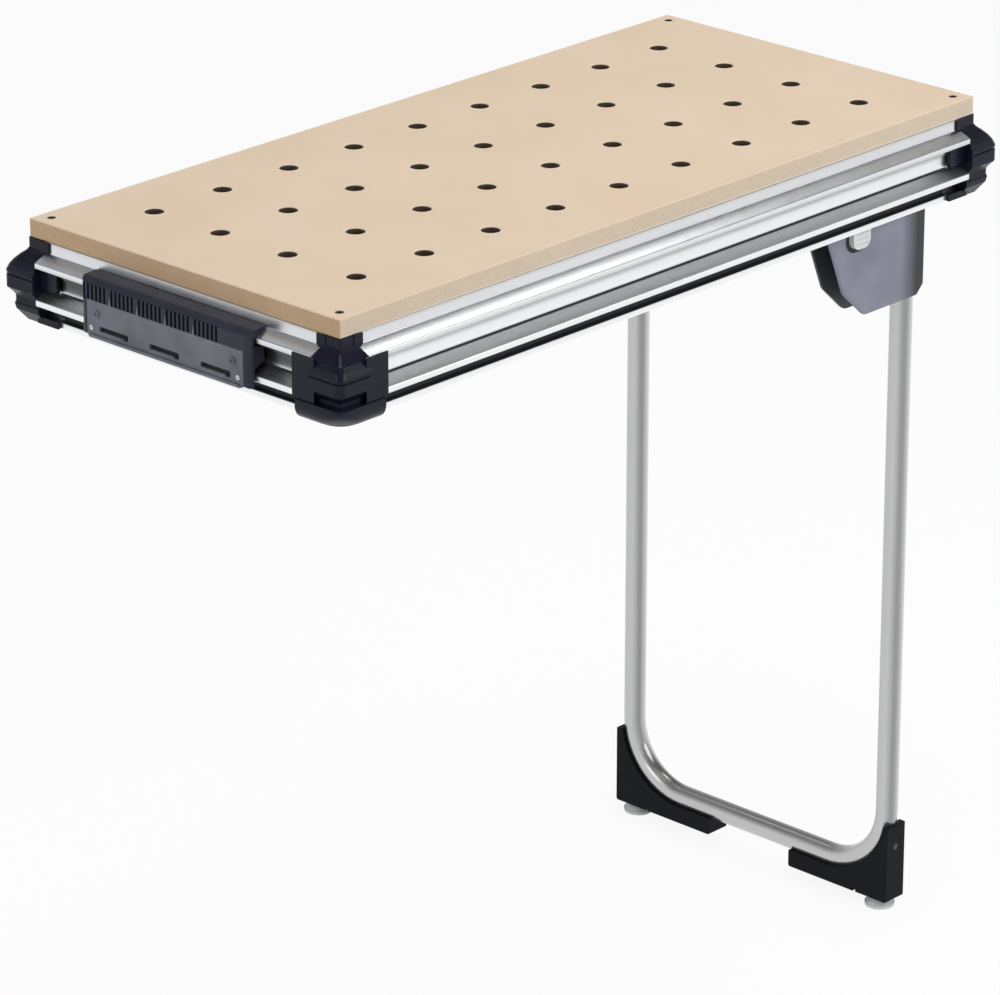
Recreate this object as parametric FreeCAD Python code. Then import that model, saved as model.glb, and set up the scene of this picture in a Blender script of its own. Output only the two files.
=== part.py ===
import FreeCAD, Part
import math
import os

# Folding-leg table extension for a workbench.
# Frame: millimetres, +X along the board towards the leg end, +Y to the rear, +Z up.
# Origin: centre of the perforated board's top face, so everything else lies below z = 0.
# Rails and their fittings are drawn in a local frame: x along the rail, "out" away from
# the board's edge, "down" below the board's underside.

V = FreeCAD.Vector
UP = V(0, 0, 1)

# Worktop board
BOARD_LENGTH = 970.0
BOARD_WIDTH = 442.0
BOARD_THICKNESS = 20.0
BOARD_EDGE_CHAMFER = 1.0
HOLE_PITCH = 96.0
HOLE_COLUMNS = 9
HOLE_ROWS = 4
HOLE_RADIUS = 10.0
HOLE_CHAMFER = 0.8

# Countersunk board screws and the brass inserts they go into
BOARD_SCREW_INSET = 16.0
BOARD_SCREW_RADIUS = 2.2
BOARD_SCREW_HEAD_RADIUS = 4.6
BOARD_SCREW_HEAD_DEPTH = 2.8
BOARD_SCREW_SINK = 0.4
INSERT_RADIUS = 4.0
INSERT_LENGTH = 14.0

# Rail section, measured out from the board's edge and down from its underside
RAIL_HEIGHT = 86.0
RAIL_INWARD = 14.0
RAIL_WALL = 2.5
LIP_HEIGHT = 12.0
RIDGE_OUT = 16.0
RIDGE_NOSE = 6.0
UPPER_RIDGE_TOP = 19.0
LOWER_RIDGE_TOP = 59.0
GROOVE_BACK_OUT = 4.0
GROOVE_STEP = 1.5
GROOVE_STEP_DOWN = 33.5
GROOVE_BOTTOM = 48.0
GROOVE_ROOF_DROP = 2.0
LOW_SLOT_TOP = 69.5
LOW_SLOT_BOTTOM = 78.5
LOW_SLOT_BACK_OUT = -1.0
STRIP_OUT = 5.0
TSLOT_DOWN = 73.0
TSLOT_OPENING = 8.2
TSLOT_INSIDE = 14.0
TSLOT_DEPTH = 8.0
TSLOT_LIP = 2.5

# Corner pieces
CORNER_REACH = 24.0
CORNER_BLOCK_DEPTH = 22.0
CORNER_BLOCK_OUT = 1.2
CORNER_BULGE = 20.0
CORNER_WAIST_OUT = 12.5
CORNER_TOE_OUT = 4.0
CORNER_TOE_DROP = 2.0
LIP_COVER_LENGTH = 6.0
LIP_COVER_OUT = 2.0
ARM_LENGTH = 28.0
ARM_CLEARANCE = 0.2
WING_LENGTH = 24.0
WING_THICKNESS = 4.5
NOSE_COVER_THICKNESS = 2.0
CORNER_SCREW_RADIUS = 2.0
CORNER_SCREW_HEAD_RADIUS = 4.0
CORNER_SCREW_HEAD_HEIGHT = 2.2

# General clearances
SEAT_GAP = 0.3
HOLE_GAP = 0.05

# Coupling bracket on the rail away from the leg
HOOD_LENGTH = 242.0
HOOD_OUT = 25.0
HOOD_TOP_DOWN = 11.2
HOOD_BOTTOM_DOWN = 33.0
HOOD_WALL = 7.0
HOOD_END_RADIUS = 8.0
CHEEK_WIDTH = 9.0
COMB_MARGIN = 5.0
COMB_PLAIN_END = 44.0
COMB_GROUP_PITCH = 40.0
COMB_SLOTS = 6
COMB_SLOT_PITCH = 5.9
COMB_SLOT_WIDTH = 3.2
COMB_SLOT_DEPTH = 4.5
TOOTH_WIDTH = 4.0
TOOTH_HEIGHT = 13.0
PLATE_THICKNESS = 4.0
PLATE_STEP = 0.5
PLATE_BOTTOM_DOWN = 72.0
PLATE_LIP = 2.0
PLATE_LIP_HEIGHT = 3.0
PLATE_SLOTS = 3
PLATE_SLOT_BRIDGE = 31.0
PLATE_END_MARGIN = 18.0
PLATE_SLOT_HEIGHT = 5.5
PLATE_SLOT_DOWN = 58.5
PLATE_SLOT_HOOK = 7.0
COUPLING_SCREW_INSET = 8.0
COUPLING_SCREW_DOWN = 46.5
COUPLING_SCREW_RADIUS = 2.5
COUPLING_HEAD_RADIUS = 4.0
COUPLING_HEAD_HEIGHT = 1.6
COUPLING_SOCKET_RADIUS = 2.2
SET_SCREW_INSET = 7.0
SET_SCREW_RADIUS = 2.0
SET_SCREW_HEAD_RADIUS = 2.6
SET_SCREW_SOCKET_RADIUS = 1.2
SET_SCREW_STANDS_OUT = 0.8
CLAMP_BAR_FRONT_OUT = 14.0
CLAMP_BAR_TOP = 30.0
CLAMP_BAR_END_GAP = 7.0

# Folding leg
TOTAL_HEIGHT = 950.0
TUBE_RADIUS = 12.5
TUBE_WALL = 1.5
BEND_RADIUS = 80.0
TUBE_TOP_ABOVE_PIVOT = 13.0
CROSS_TUBE_ABOVE_FLOOR = 40.0
PIVOT_FROM_END = 77.0
SLEEVE_RADIUS = 6.5
PIVOT_RADIUS = 4.0
RUNNING_CLEARANCE = 0.06
LEG_SIDE_CLEARANCE = 0.5
END_CAP_THICKNESS = 3.0
END_CAP_STEM = 8.0

# Hinge housings
CHEEK_THICKNESS = 3.0
SIDE_PLATE_THICKNESS = 3.0
HOUSING_LEFT_FROM_PIVOT = 150.0
HOUSING_TOP_GAP = 4.0
HOUSING_DEPTH = 213.0
HOUSING_STRAIGHT_LEFT = 100.0
HOUSING_LEFT_LEAN = 32.0
HOUSING_LEAN_END = 180.0
HOUSING_BOTTOM_LEFT = 68.0
HOUSING_LOWER_RADIUS = 14.0
HOUSING_CHAMFER = 11.0
HOUSING_WALL = 3.0
HOUSING_WALL_TOP = 110.0
HOUSING_EDGE_RADIUS = 2.4
HOUSING_WEB = 4.0
STOP_PAD_THICKNESS = 2.0
STOP_PAD_WIDTH = 16.0
STOP_PAD_HEIGHT = 40.0
STOP_PAD_ABOVE_BOTTOM = 23.0
BOSS_RADIUS = 5.0
BOSS_DEPTH = 38.0
BOSS_FROM_PIVOT = (4.0, -64.0, -133.0)
HOUSING_SCREW_DEPTH = 56.0
HOUSING_SCREW_FROM_PIVOT = (-45.0, -90.0, -135.0)
SMALL_SCREW_RADIUS = 2.0
SMALL_HEAD_RADIUS = 4.0
SMALL_HEAD_HEIGHT = 2.4

# Latch blocks that hold the folded leg
LATCH_FROM_PIVOT = -97.0
LATCH_WIDTH = 28.0
LATCH_HEIGHT = 24.0
LATCH_TRAVEL = 7.0
LATCH_TOP_GAP = 1.4
LATCH_CORNER_RADIUS = 10.0
LATCH_GAP = 0.3
LATCH_RIB = 0.8

# Pivot bolts, washers and clamp knobs
BOLT_HEAD_LENGTH = 20.0
BOLT_HEAD_GAP = 0.4
WASHER_RADIUS = 12.0
WASHER_THICKNESS = 2.0
KNOB_GAP = 0.1
KNOB_HUB_RADIUS = 10.0
KNOB_HUB_LENGTH = 6.0
KNOB_RADIUS = 21.0
KNOB_LOBES = 5
KNOB_LOBE_RADIUS = 7.5
KNOB_THICKNESS = 15.0
KNOB_CAP = 3.0
KNOB_BORE_CLEARANCE = 0.08

# Foot shoes, inserts, studs and pads
SHOE_HALF_THICKNESS = 15.0
SHOE_OUTER_WALL = 2.0
SHOE_TOP_ABOVE_FLOOR = 105.0
SHOE_BOTTOM_ABOVE_FLOOR = 12.0
SHOE_INNER_Y = 60.0
SHOE_FLANGE = 8.0
SHOE_CLEARANCE = 0.1
SHOE_NOTCH_Y = 160.0
SHOE_NOTCH = 4.0
FOOT_INWARD = 7.0
FOOT_INSERT_RADIUS = 8.0
FOOT_INSERT_LENGTH = 18.0
STUD_RADIUS = 5.0
STUD_LENGTH = 36.0
STUD_NECK_RADIUS = 4.0
STUD_NECK_LENGTH = 6.0
PAD_RADIUS = 17.0
PAD_RIM = 4.0
PAD_HEIGHT = 10.0
PAD_TOP_RADIUS = 9.0
SHOE_SCREW_Y = 82.0
SHOE_SCREW_ABOVE_FLOOR = 78.0
SHOE_SCREW_DEPTH = 18.0

# Values that follow from the ones above
HALF_LENGTH = BOARD_LENGTH / 2
HALF_WIDTH = BOARD_WIDTH / 2
UNDERSIDE_Z = -BOARD_THICKNESS
RAIL_BOTTOM_Z = UNDERSIDE_Z - RAIL_HEIGHT
RAIL_INNER_Y = HALF_WIDTH - RAIL_INWARD
PIVOT_X = HALF_LENGTH - PIVOT_FROM_END
PIVOT_Z = UNDERSIDE_Z - TSLOT_DOWN
LEG_Y = RAIL_INNER_Y - CHEEK_THICKNESS - LEG_SIDE_CLEARANCE - TUBE_RADIUS
SIDE_PLATE_Y = LEG_Y - TUBE_RADIUS - LEG_SIDE_CLEARANCE
FLOOR_Z = -TOTAL_HEIGHT
CROSS_Z = FLOOR_Z + CROSS_TUBE_ABOVE_FLOOR
FOOT_Y = LEG_Y - FOOT_INWARD
HOUSING_RIGHT = PIVOT_X + TUBE_RADIUS + LEG_SIDE_CLEARANCE + STOP_PAD_THICKNESS + HOUSING_WALL
HOOD_HALF = HOOD_LENGTH / 2
PLATE_HALF = HOOD_HALF - CHEEK_WIDTH - SEAT_GAP
CLAMP_BAR_HALF = HOOD_HALF - CHEEK_WIDTH - CLAMP_BAR_END_GAP
COUPLING_SCREW_X = CLAMP_BAR_HALF - COUPLING_SCREW_INSET
UPPER_SLOPE = (UPPER_RIDGE_TOP - LIP_HEIGHT) / RIDGE_OUT
LOWER_SLOPE_OUT = 3.5
LOWER_SLOPE_DOWN = GROOVE_BOTTOM + 2.5


def solid_box(x0, x1, y0, y1, z0, z1):
    """Box between two corners given in any order."""
    low = V(min(x0, x1), min(y0, y1), min(z0, z1))
    return Part.makeBox(abs(x1 - x0), abs(y1 - y0), abs(z1 - z0), low)


def cylinder(radius, start, end):
    """Cylinder of one radius from one point to another."""
    axis = end - start
    return Part.makeCylinder(radius, axis.Length, start, axis)


def rounded_wire(points):
    """Closed wire through (x, y, z, radius) corners, each rounded by its radius."""
    corners = [V(*p[:3]) for p in points]
    radii = [p[3] if len(p) > 3 else 0.0 for p in points]
    count = len(corners)
    spans = []
    for i, corner in enumerate(corners):
        radius = radii[i]
        if radius == 0:
            spans.append((corner, None, corner))
            continue
        before = (corners[i - 1] - corner).normalize()
        after = (corners[(i + 1) % count] - corner).normalize()
        half = before.getAngle(after) / 2
        setback = radius / math.tan(half)
        middle = (before + after).normalize() * (radius / math.sin(half) - radius)
        spans.append((corner + before * setback, corner + middle, corner + after * setback))
    edges = []
    for i, (start, middle, end) in enumerate(spans):
        if middle is not None:
            edges.append(Part.Arc(start, middle, end).toShape())
        following = spans[(i + 1) % count][0]
        if (following - end).Length > 1e-6:
            edges.append(Part.LineSegment(end, following).toShape())
    return Part.Wire(edges)


def prism_xz(points, y0, y1):
    """Solid from an (x, z, radius) outline, extruded from y0 to y1."""
    wire = rounded_wire([(p[0], y0, p[1], *p[2:]) for p in points])
    return Part.Face(wire).extrude(V(0, y1 - y0, 0))


def prism_yz(points, x0, x1):
    """Solid from a (y, z, radius) outline, extruded from x0 to x1."""
    wire = rounded_wire([(x0, p[0], p[1], *p[2:]) for p in points])
    return Part.Face(wire).extrude(V(x1 - x0, 0, 0))


def rail_prism(points, x0, x1):
    """Solid from an (out, down, radius) outline in the rail's local frame."""
    return prism_yz([(-p[0], UNDERSIDE_Z - p[1], *p[2:]) for p in points], x0, x1)


def compound(shapes):
    """One node made of several separate solids."""
    return Part.makeCompound(shapes)


def turned(shape, degrees, offset):
    """Copy of a shape turned about Z and then moved."""
    copy = shape.copy()
    copy.rotate(V(0, 0, 0), UP, degrees)
    copy.translate(offset)
    return copy


def on_front(shape):
    """From the rail's local frame to the front edge of the board."""
    return turned(shape, 0, V(0, -HALF_WIDTH, 0))


def on_rear(shape):
    """From the rail's local frame to the rear edge of the board."""
    return turned(shape, 180, V(0, HALF_WIDTH, 0))


def on_left(shape):
    """From the rail's local frame to the coupling end of the board."""
    return turned(shape, -90, V(-HALF_LENGTH, 0, 0))


def on_right(shape):
    """From the rail's local frame to the leg end of the board."""
    return turned(shape, 90, V(HALF_LENGTH, 0, 0))


def mirrored(shape):
    """Copy of a front-side shape for the rear side."""
    return shape.mirror(V(0, 0, 0), V(0, 1, 0))


def hole_centres():
    """Centres of the board's clamping holes."""
    for column in range(HOLE_COLUMNS):
        for row in range(HOLE_ROWS):
            x = (column - (HOLE_COLUMNS - 1) / 2) * HOLE_PITCH
            y = (row - (HOLE_ROWS - 1) / 2) * HOLE_PITCH
            yield x, y


def board_screw_centres():
    """Centres of the four corner screws."""
    x = HALF_LENGTH - BOARD_SCREW_INSET
    y = HALF_WIDTH - BOARD_SCREW_INSET
    return [(-x, -y), (x, -y), (x, y), (-x, y)]


def make_board():
    """Perforated board with chamfered edges, clamping holes and countersunk screw holes."""
    board = solid_box(-HALF_LENGTH, HALF_LENGTH, -HALF_WIDTH, HALF_WIDTH, UNDERSIDE_Z, 0)
    board = board.makeChamfer(BOARD_EDGE_CHAMFER, board.Edges)
    cuts = []
    for x, y in hole_centres():
        cuts.append(cylinder(HOLE_RADIUS, V(x, y, UNDERSIDE_Z - 1), V(x, y, 1)))
        rim = HOLE_RADIUS + HOLE_CHAMFER
        cuts.append(Part.makeCone(HOLE_RADIUS, rim, HOLE_CHAMFER, V(x, y, -HOLE_CHAMFER)))
    for x, y in board_screw_centres():
        shank = BOARD_SCREW_RADIUS + HOLE_GAP
        head = BOARD_SCREW_HEAD_RADIUS + HOLE_GAP
        top = V(x, y, -BOARD_SCREW_SINK)
        cuts.append(cylinder(shank, V(x, y, UNDERSIDE_Z - 1), V(x, y, 1)))
        cuts.append(cylinder(head, top, V(x, y, 1)))
        cone_base = V(x, y, -BOARD_SCREW_SINK - BOARD_SCREW_HEAD_DEPTH)
        cuts.append(Part.makeCone(shank, head, BOARD_SCREW_HEAD_DEPTH, cone_base))
    return board.cut(compound(cuts))


def make_board_screws():
    """Countersunk screws with a cross recess."""
    screws = []
    for x, y in board_screw_centres():
        top = V(x, y, -BOARD_SCREW_SINK)
        cone_base = V(x, y, -BOARD_SCREW_SINK - BOARD_SCREW_HEAD_DEPTH)
        head = Part.makeCone(
            BOARD_SCREW_RADIUS, BOARD_SCREW_HEAD_RADIUS, BOARD_SCREW_HEAD_DEPTH, cone_base
        )
        end = V(x, y, UNDERSIDE_Z - INSERT_LENGTH + 1)
        screw = head.fuse(cylinder(BOARD_SCREW_RADIUS, end, cone_base))
        arm = BOARD_SCREW_HEAD_RADIUS * 0.55
        half = BOARD_SCREW_HEAD_RADIUS * 0.13
        depth = BOARD_SCREW_HEAD_DEPTH * 0.6
        for length, width in ((arm, half), (half, arm)):
            slot = solid_box(x - length, x + length, y - width, y + width, top.z - depth, top.z + 1)
            screw = screw.cut(slot)
        screws.append(screw.removeSplitter())
    return compound(screws)


def make_inserts():
    """Threaded brass inserts in the corner blocks."""
    inserts = []
    for x, y in board_screw_centres():
        top = V(x, y, UNDERSIDE_Z - HOLE_GAP)
        end = V(x, y, UNDERSIDE_Z - INSERT_LENGTH)
        ring = cylinder(INSERT_RADIUS, end, top)
        inserts.append(ring.cut(cylinder(BOARD_SCREW_RADIUS + HOLE_GAP, end, top)))
    return compound(inserts)


def rail_outline():
    """Outer contour of the extrusion, as (out, down, radius)."""
    half_opening = TSLOT_OPENING / 2
    half_inside = TSLOT_INSIDE / 2
    lip = -RAIL_INWARD + TSLOT_LIP
    back = -RAIL_INWARD + TSLOT_DEPTH
    groove_wall = GROOVE_BACK_OUT - GROOVE_STEP
    upper_nose = UPPER_RIDGE_TOP + RIDGE_NOSE
    lower_nose = LOWER_RIDGE_TOP + RIDGE_NOSE
    return [
        (-RAIL_INWARD, 0.0),
        (0.0, 0.0, 0.8),
        (0.0, LIP_HEIGHT, 0.8),
        (RIDGE_OUT, UPPER_RIDGE_TOP, 2.0),
        (RIDGE_OUT, upper_nose, 1.5),
        (GROOVE_BACK_OUT, upper_nose + GROOVE_ROOF_DROP, 0.6),
        (GROOVE_BACK_OUT, GROOVE_STEP_DOWN, 0.3),
        (groove_wall, GROOVE_STEP_DOWN + 1, 0.3),
        (groove_wall, GROOVE_BOTTOM),
        (groove_wall - GROOVE_STEP, GROOVE_BOTTOM + 0.5),
        (groove_wall - GROOVE_STEP, GROOVE_BOTTOM + 2.0),
        (LOWER_SLOPE_OUT, LOWER_SLOPE_DOWN, 0.3),
        (RIDGE_OUT, LOWER_RIDGE_TOP, 2.0),
        (RIDGE_OUT, lower_nose, 1.5),
        (LOW_SLOT_BACK_OUT, LOW_SLOT_TOP, 0.5),
        (LOW_SLOT_BACK_OUT, LOW_SLOT_BOTTOM, 0.5),
        (STRIP_OUT, LOW_SLOT_BOTTOM + 1, 0.4),
        (STRIP_OUT, RAIL_HEIGHT, 0.8),
        (-RAIL_INWARD, RAIL_HEIGHT, 0.8),
        (-RAIL_INWARD, TSLOT_DOWN + half_opening),
        (lip, TSLOT_DOWN + half_opening),
        (lip, TSLOT_DOWN + half_inside),
        (back, TSLOT_DOWN + half_inside),
        (back, TSLOT_DOWN - half_inside),
        (lip, TSLOT_DOWN - half_inside),
        (lip, TSLOT_DOWN - half_opening),
        (-RAIL_INWARD, TSLOT_DOWN - half_opening),
    ]


def chamber_back():
    """Inner wall of the rail's hollow chambers, measured outwards."""
    return -RAIL_INWARD + RAIL_WALL


def arm_chamber():
    """Limits of the chamber that takes the corner pieces' arms: out0, out1, down0, down1."""
    top = UPPER_RIDGE_TOP + RIDGE_NOSE + GROOVE_ROOF_DROP + 0.2
    return chamber_back(), GROOVE_BACK_OUT - GROOVE_STEP - RAIL_WALL, top, GROOVE_BOTTOM - 2


def rail_chambers():
    """Hollow chambers of the extrusion."""
    inner = chamber_back()
    nose = RIDGE_OUT - RAIL_WALL - 1.2
    upper_nose = UPPER_RIDGE_TOP + RIDGE_NOSE
    lower_nose = LOWER_RIDGE_TOP + RIDGE_NOSE
    out0, out1, down0, down1 = arm_chamber()
    tslot_back = -RAIL_INWARD + TSLOT_DEPTH
    upper = [
        (inner, RAIL_WALL),
        (-RAIL_WALL, RAIL_WALL),
        (-RAIL_WALL, LIP_HEIGHT + 1.6),
        (nose, UPPER_RIDGE_TOP + 1.2),
        (nose, upper_nose - 2.2),
        (2.0, upper_nose - 0.6),
        (inner, upper_nose - 0.6),
    ]
    middle = [(out0, down0), (out1, down0), (out1, down1), (out0, down1)]
    lower = [
        (tslot_back + RAIL_WALL + 0.5, LOWER_SLOPE_DOWN + 2),
        (LOWER_SLOPE_OUT, LOWER_SLOPE_DOWN + 3.5),
        (nose, LOWER_RIDGE_TOP + 1),
        (nose, lower_nose - 1.8),
        (0.0, LOW_SLOT_TOP - 3.3),
        (tslot_back + RAIL_WALL + 0.5, LOW_SLOT_TOP - 3.3),
    ]
    behind = [
        (inner, down1 + 3),
        (tslot_back, down1 + 3),
        (tslot_back, TSLOT_DOWN - TSLOT_INSIDE / 2 - 3),
        (inner, TSLOT_DOWN - TSLOT_INSIDE / 2 - 3),
    ]
    return [upper, middle, lower, behind]


def arm_screw_place(length):
    """Distance along the rail and depth of the screws that hold a corner arm."""
    down0, down1 = arm_chamber()[2:]
    return length / 2 - ARM_LENGTH / 2, (down0 + down1) / 2


def make_rail(length):
    """Rail in its local frame, centred along x."""
    half = length / 2
    rail = rail_prism(rail_outline(), -half, half)
    for chamber in rail_chambers():
        rail = rail.cut(rail_prism(chamber, -half - 1, half + 1))
    along, down = arm_screw_place(length)
    z = UNDERSIDE_Z - down
    for x in (-along, along):
        start = V(x, RAIL_INWARD + 1, z)
        end = V(x, -chamber_back() - 1, z)
        rail = rail.cut(cylinder(CORNER_SCREW_RADIUS + HOLE_GAP, start, end))
    return rail


def make_arm_screws(length):
    """Two pan-head screws, one at each end of a rail, in its local frame."""
    along, down = arm_screw_place(length)
    z = UNDERSIDE_Z - down
    screws = []
    for x in (-along, along):
        tip = V(x, -chamber_back() - 8, z)
        face = V(x, RAIL_INWARD, z)
        outer = V(x, RAIL_INWARD + CORNER_SCREW_HEAD_HEIGHT, z)
        screw = cylinder(CORNER_SCREW_RADIUS, tip, face)
        screws.append(screw.fuse(cylinder(CORNER_SCREW_HEAD_RADIUS, face, outer)))
    return screws


def corner_levels():
    """Levels of the corner piece: depth, how far it stands out, radius of its outer edge."""
    nose_low = UPPER_RIDGE_TOP + RIDGE_NOSE
    bulge_top = GROOVE_STEP_DOWN + 0.5
    line = bulge_top + 2.0
    bulge_low = LOWER_RIDGE_TOP - 7
    waist_low = LOWER_RIDGE_TOP + RIDGE_NOSE + 3
    return [
        (0.0, CORNER_BLOCK_OUT, 2.5),
        (LIP_HEIGHT - 1.5, CORNER_BLOCK_OUT, 2.5),
        (LIP_HEIGHT + 2, CORNER_BULGE - 16, 4.0),
        (UPPER_RIDGE_TOP - 1, CORNER_BULGE - 11, 5.5),
        (nose_low - 2, CORNER_BULGE - 6, 7.0),
        (nose_low + 3, CORNER_BULGE - 2.5, 7.5),
        (bulge_top, CORNER_BULGE, 8.0),
        (line, CORNER_BULGE, 8.0),
        (line + 0.8, CORNER_BULGE - 1.4, 8.0),
        (line + 2.2, CORNER_BULGE - 1.4, 8.0),
        (line + 3, CORNER_BULGE, 8.0),
        (bulge_low, CORNER_BULGE, 8.0),
        (LOWER_RIDGE_TOP - 1, CORNER_WAIST_OUT + 2, 5.0),
        (LOWER_RIDGE_TOP + 2, CORNER_WAIST_OUT, 4.0),
        (waist_low, CORNER_WAIST_OUT, 4.0),
        (waist_low + 2.5, CORNER_WAIST_OUT + 1, 4.0),
        (LOW_SLOT_BOTTOM - 2.5, CORNER_WAIST_OUT, 4.0),
        (RAIL_HEIGHT + CORNER_TOE_DROP, CORNER_TOE_OUT, 3.0),
    ]


def corner_ring(down, out, radius):
    """Plan outline of the corner piece at one level, with its outer edge rounded."""
    z = UNDERSIDE_Z - down
    reach = CORNER_REACH
    return rounded_wire([(-out, -out, z, radius), (reach, -out, z), (reach, reach, z), (-out, reach, z)])


def make_corner(rail_cuts, covered):
    """Corner piece at the front left, its origin at the board's corner; covered, it caps the ridge ends."""
    levels = corner_levels()
    body = None
    for upper, lower in zip(levels, levels[1:]):
        layer = Part.makeLoft([corner_ring(*lower), corner_ring(*upper)], True, True)
        body = layer if body is None else body.fuse(layer)
    bottom = UNDERSIDE_Z - RAIL_HEIGHT - CORNER_TOE_DROP - 1
    far = CORNER_REACH + 1
    block_z = UNDERSIDE_Z - CORNER_BLOCK_DEPTH
    body = body.cut(solid_box(RAIL_INWARD, far, RAIL_INWARD, far, bottom, block_z))
    out0, out1, down0, down1 = arm_chamber()
    gap = ARM_CLEARANCE
    back = GROOVE_BACK_OUT + SEAT_GAP
    groove_top = UPPER_RIDGE_TOP + RIDGE_NOSE + GROOVE_ROOF_DROP + 0.6
    strip = STRIP_OUT + SEAT_GAP
    end = CORNER_REACH + WING_LENGTH
    arm = (out0 + gap, out1 - gap, down0 + gap, down1 - gap, CORNER_REACH + ARM_LENGTH)
    cover = (SEAT_GAP, LIP_COVER_OUT, 0.0, LIP_HEIGHT - SEAT_GAP, CORNER_REACH + LIP_COVER_LENGTH)
    wing = (back, back + WING_THICKNESS, groove_top, GROOVE_BOTTOM, end)
    foot = (strip, strip + WING_THICKNESS - 1, LOW_SLOT_BOTTOM, RAIL_HEIGHT, end)
    plates = [arm, cover, wing, foot]
    if covered:
        nose = RIDGE_OUT + SEAT_GAP
        low = LOWER_RIDGE_TOP + RIDGE_NOSE + 1
        plates.append((nose, nose + NOSE_COVER_THICKNESS, UPPER_RIDGE_TOP + 0.5, low, end))
    start = CORNER_REACH - 6
    for near, outer, top, low, reach in plates:
        z0 = UNDERSIDE_Z - low
        z1 = UNDERSIDE_Z - top
        along_x = solid_box(start, reach, -outer, -near, z0, z1)
        along_y = solid_box(-outer, -near, start, reach, z0, z1)
        body = body.fuse(along_x).fuse(along_y)
    inset = BOARD_SCREW_INSET
    pocket = V(inset, inset, UNDERSIDE_Z - INSERT_LENGTH - 1)
    body = body.cut(cylinder(INSERT_RADIUS + HOLE_GAP, pocket, V(inset, inset, 0)))
    for cut in rail_cuts:
        body = body.cut(cut)
    return body.removeSplitter()


def arm_screw_cuts():
    """Screw holes in the corner piece's two arms, with the origin at the board's corner."""
    down0, down1 = arm_chamber()[2:]
    z = UNDERSIDE_Z - (down0 + down1) / 2
    along = CORNER_REACH + ARM_LENGTH / 2
    radius = CORNER_SCREW_RADIUS + HOLE_GAP
    inner = RAIL_INWARD + 1
    tip = -chamber_back() - 9
    return [
        cylinder(radius, V(along, inner, z), V(along, tip, z)),
        cylinder(radius, V(inner, along, z), V(tip, along, z)),
    ]


def hood_outline():
    """Section of the coupling's hood, resting on the rail's upper slope."""
    clear = SEAT_GAP
    near = 1.5
    slope_near = LIP_HEIGHT + UPPER_SLOPE * near - clear
    inner = HOOD_OUT - HOOD_WALL
    return [
        (near, HOOD_TOP_DOWN - 1.0),
        (HOOD_OUT - 7, HOOD_TOP_DOWN, 4.0),
        (HOOD_OUT, HOOD_TOP_DOWN + 5, 3.0),
        (HOOD_OUT, HOOD_BOTTOM_DOWN),
        (inner, HOOD_BOTTOM_DOWN),
        (inner, UPPER_RIDGE_TOP - clear),
        (RIDGE_OUT - 1, LIP_HEIGHT + UPPER_SLOPE * (RIDGE_OUT - 1) - clear),
        (near, slope_near),
    ]


def cheek_outline():
    """Section of the coupling's end cheeks, reaching into the rail's groove."""
    inner = HOOD_OUT - HOOD_WALL
    back = GROOVE_BACK_OUT + SEAT_GAP
    return [
        (inner, HOOD_BOTTOM_DOWN - 5),
        (inner, HOOD_BOTTOM_DOWN - 8),
        (HOOD_OUT, HOOD_BOTTOM_DOWN - 8),
        (HOOD_OUT, PLATE_BOTTOM_DOWN - 1, 3.0),
        (inner, PLATE_BOTTOM_DOWN - 1, 2.0),
        (inner, GROOVE_BOTTOM + 4),
        (back, GROOVE_BOTTOM - 2),
        (back, HOOD_BOTTOM_DOWN - 3),
    ]


def comb_group_starts():
    """Where each group of comb slots starts, along the rail."""
    first = -HOOD_HALF + COMB_MARGIN
    groups = math.floor((HOOD_HALF - COMB_PLAIN_END - first) / COMB_GROUP_PITCH) + 1
    return [first + group * COMB_GROUP_PITCH for group in range(groups)]


def tooth_places():
    """Centres of the plate's pointed teeth, between the groups of slots."""
    half_gap = (COMB_GROUP_PITCH - COMB_SLOTS * COMB_SLOT_PITCH) / 2
    return [start - half_gap for start in comb_group_starts()[1:]]


def tooth_outline(x, width, height):
    """Pointed tooth that rises from the plate's top edge, as (x, down)."""
    base = HOOD_BOTTOM_DOWN + 1
    return [(x - width / 2, base), (x + width / 2, base), (x, HOOD_BOTTOM_DOWN - height)]


def front_prism(points, out0, out1):
    """Solid from an (x, down) outline that faces outwards from the rail."""
    return prism_xz([(p[0], UNDERSIDE_Z - p[1], *p[2:]) for p in points], -out0, -out1)


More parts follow.
